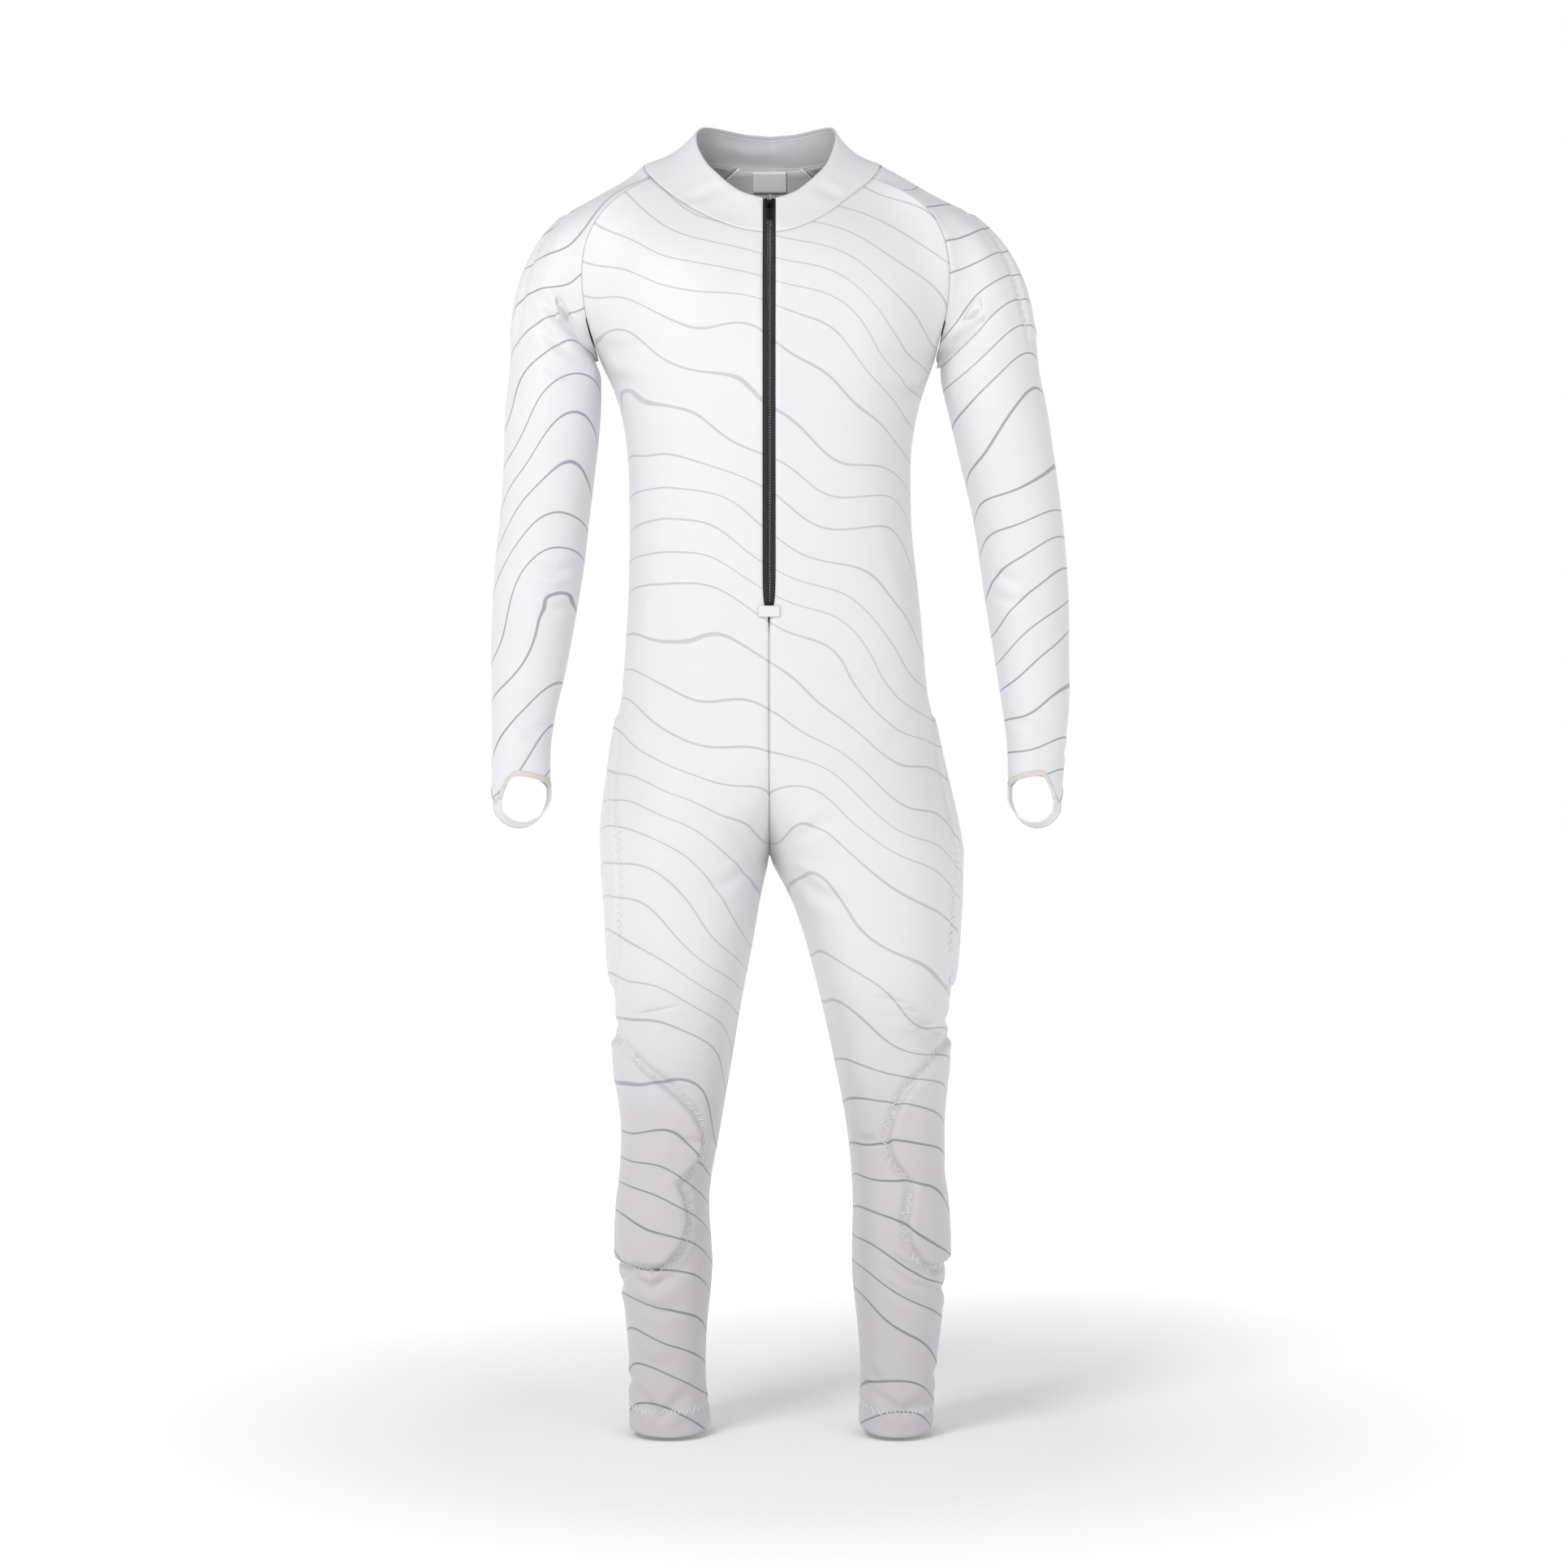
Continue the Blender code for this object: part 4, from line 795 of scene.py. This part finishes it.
# Hand openings
# The sleeve's arched edge is bound in ivory tape, held by two rows of stitches. The loop's
# edges are stitched in the same thread.
ivory, tree, shader = new_material("ivory binding tape", "#D0CBC4", 0.7)
place = add_node(tree, "ShaderNodeTexCoord").outputs["Object"]
knit_bump(tree, shader, place, 0.8 * MM, 0.12 * MM)
ivory_thread, tree, shader = new_material("ivory polyester thread", "#BDB6AB", 0.5)
WRIST_X = {"right": -0.273, "left": 0.293}
WRIST_Y = -0.025
BINDING_WIDTH = 6 * MM
BINDING_PROUD = 0.45 * MM
for side in SIDES:
    middle_x = WRIST_X[side]
    edge = sorted(rim_points("sleeve_" + side, -1, -0.72, -0.64),
                  key=lambda pair: np.arctan2(pair[0].x - middle_x, pair[0].y - WRIST_Y))
    ring = evenly([tuple(middle) for middle, _ in edge[::2]], 4 * MM, True)[:-1]
    bands = []
    for spot in ring:
        away = Vector((spot[0] - middle_x, spot[1] - WRIST_Y, 0)).normalized()
        spot = Vector(spot)
        band = []
        for up, out in ((1.0, 1), (0.5, 1), (0.1, 1), (-0.14, 0), (0.1, -1), (0.5, -1), (1.0, -1)):
            guess = spot + Vector((0, 0, up * BINDING_WIDTH)) + away * out * 1.5 * MM
            if out:
                near, normal = on_cloth([sleeves[side]], guess)
                if up > 0.3:
                    guess = near + normal * BINDING_PROUD
                else:
                    guess = near + away * out * BINDING_PROUD
            band.append(tuple(guess))
        bands.append(band)
    mesh = bpy.data.meshes.new("cuff_binding_" + side)
    count, width = len(bands), len(bands[0])
    mesh.from_pydata([p for band in bands for p in band], [],
                     [(k * width + j, (k + 1) % count * width + j,
                       (k + 1) % count * width + j + 1, k * width + j + 1)
                      for k in range(count) for j in range(width - 1)])
    binding = bpy.data.objects.new("cuff_binding_" + side, mesh)
    bpy.context.scene.collection.objects.link(binding)
    bpy.ops.object.select_all(action="DESELECT")
    binding.select_set(True)
    bpy.context.view_layer.objects.active = binding
    thick = binding.modifiers.new("Solidify", "SOLIDIFY")
    thick.thickness = 0.4 * MM
    thick.offset = 0
    bpy.ops.object.modifier_apply(modifier=thick.name)
    rounder = binding.modifiers.new("Subdivision", "SUBSURF")
    rounder.levels = 1
    bpy.ops.object.modifier_apply(modifier=rounder.name)
    binding.data.shade_smooth()
    dress(binding, ivory, "suit")
    for row, up in enumerate((1.8 * MM, 4.6 * MM)):
        for name, out in (("outer", 1), ("inner", -1)):
            route = []
            for spot in ring[::2]:
                away = Vector((spot[0] - middle_x, spot[1] - WRIST_Y, 0)).normalized()
                route.append(tuple(Vector(spot) + Vector((0, 0, up)) + away * out * 2.4 * MM))
            sew("cuff_stitch_%s_%d_%s" % (name, row, side), route, [binding], 0, 1.9 * MM,
                size=0.4 * MM, closed=True, dashed=True, finish=ivory_thread)
    strap = straps[side]
    for row, route in enumerate(strap_lines[side]):
        sew("loop_stitch_%d_%s" % (row, side), route, [strap], 0, 1.9 * MM, size=0.4 * MM,
            dashed=True, finish=ivory_thread)

# Label
# Blank white satin, sewn in at the centre back under the collar seam.
satin, tree, shader = new_material("blank white satin", "#E8E9EE", 0.3)
place = add_node(tree, "ShaderNodeTexCoord").outputs["Object"]
knit_bump(tree, shader, place, 0.5 * MM, 0.06 * MM)
label = cloth_from("neck_label", "blank_neck_label", 2)
dress(label, satin, "suit")
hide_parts("neck_label")

# Room
# A pale floor below the suit that glows by itself, least near the suit as a painted shadow pool;
# white paper all round at eye height, dimmer above, and two large soft lights in front: the
# stronger one high on the left.
bpy.ops.object.select_all(action="DESELECT")
bpy.ops.mesh.primitive_plane_add(size=60, location=(0, 0, -1.402))
floor = bpy.context.object
floor.name = "floor"
pale, tree, shader = new_material("studio floor with painted glow and shadow pool", "#F4F4F4", 0.9)
# Painted light: the floor glows, faintest within about a metre of the suit, which paints a shadow pool
# under it.
shader.inputs["Emission Color"].default_value = (1, 1, 1, 1)
far = add_node(tree, "ShaderNodeVectorMath", operation="LENGTH")
tree.links.new(add_node(tree, "ShaderNodeTexCoord").outputs["Object"], far.inputs[0])
painted_floor_glow = add_node(tree, "ShaderNodeMapRange", [(far.outputs["Value"], "Value")])
for key, value in (("From Min", 0.35), ("From Max", 1.3), ("To Min", 0.12), ("To Max", 0.6)):
    painted_floor_glow.inputs[key].default_value = value
tree.links.new(painted_floor_glow.outputs["Result"], shader.inputs["Emission Strength"])
floor.data.materials.append(pale)

world = bpy.data.worlds.new("white surround")
world.use_nodes = True
tree = world.node_tree
towards = add_node(tree, "ShaderNodeSeparateXYZ")
tree.links.new(add_node(tree, "ShaderNodeTexCoord").outputs["Generated"], towards.inputs[0])
height = add_node(tree, "ShaderNodeMath", [(towards.outputs["Z"], 0)], operation="ABSOLUTE")
band = add_node(tree, "ShaderNodeMapRange", [(height.outputs[0], "Value")],
                interpolation_type="SMOOTHSTEP")
for key, value in (("From Min", 0.27), ("From Max", 0.55), ("To Min", 1.0), ("To Max", 0.40)):
    band.inputs[key].default_value = value
tree.links.new(band.outputs["Result"], tree.nodes["Background"].inputs["Strength"])
tree.nodes["Background"].inputs["Color"].default_value = (1, 1, 1, 1)
bpy.context.scene.world = world
bpy.context.scene.view_settings.view_transform = "Standard"

for name, spot, aim, size, watts in (
        ("key", (-1.6, -2.5, 1.9), (0, 0, -0.7), 1.1, 62),
        ("fill", (1.9, -2.7, 0.3), (0, 0, -0.7), 1.0, 9)):
    lamp = bpy.data.objects.new(name, bpy.data.lights.new(name, "AREA"))
    lamp.data.size = size
    lamp.data.energy = watts
    lamp.location = spot
    lamp.rotation_euler = (Vector(aim) - Vector(spot)).to_track_quat("-Z", "Y").to_euler()
    bpy.context.scene.collection.objects.link(lamp)

DISTANCE = 3.5
VIEW_WIDTH = 1932 * 0.9 * MM
AIM = Vector((0.016, 0, -0.680))
SENSOR = 36
camera = bpy.data.objects.new("camera", bpy.data.cameras.new("camera"))
camera.data.sensor_width = SENSOR
camera.data.lens = SENSOR * DISTANCE / VIEW_WIDTH
camera.location = AIM - Vector((0, DISTANCE, 0))
camera.rotation_euler = (radians(90), 0, 0)
bpy.context.scene.collection.objects.link(camera)
bpy.context.scene.camera = camera
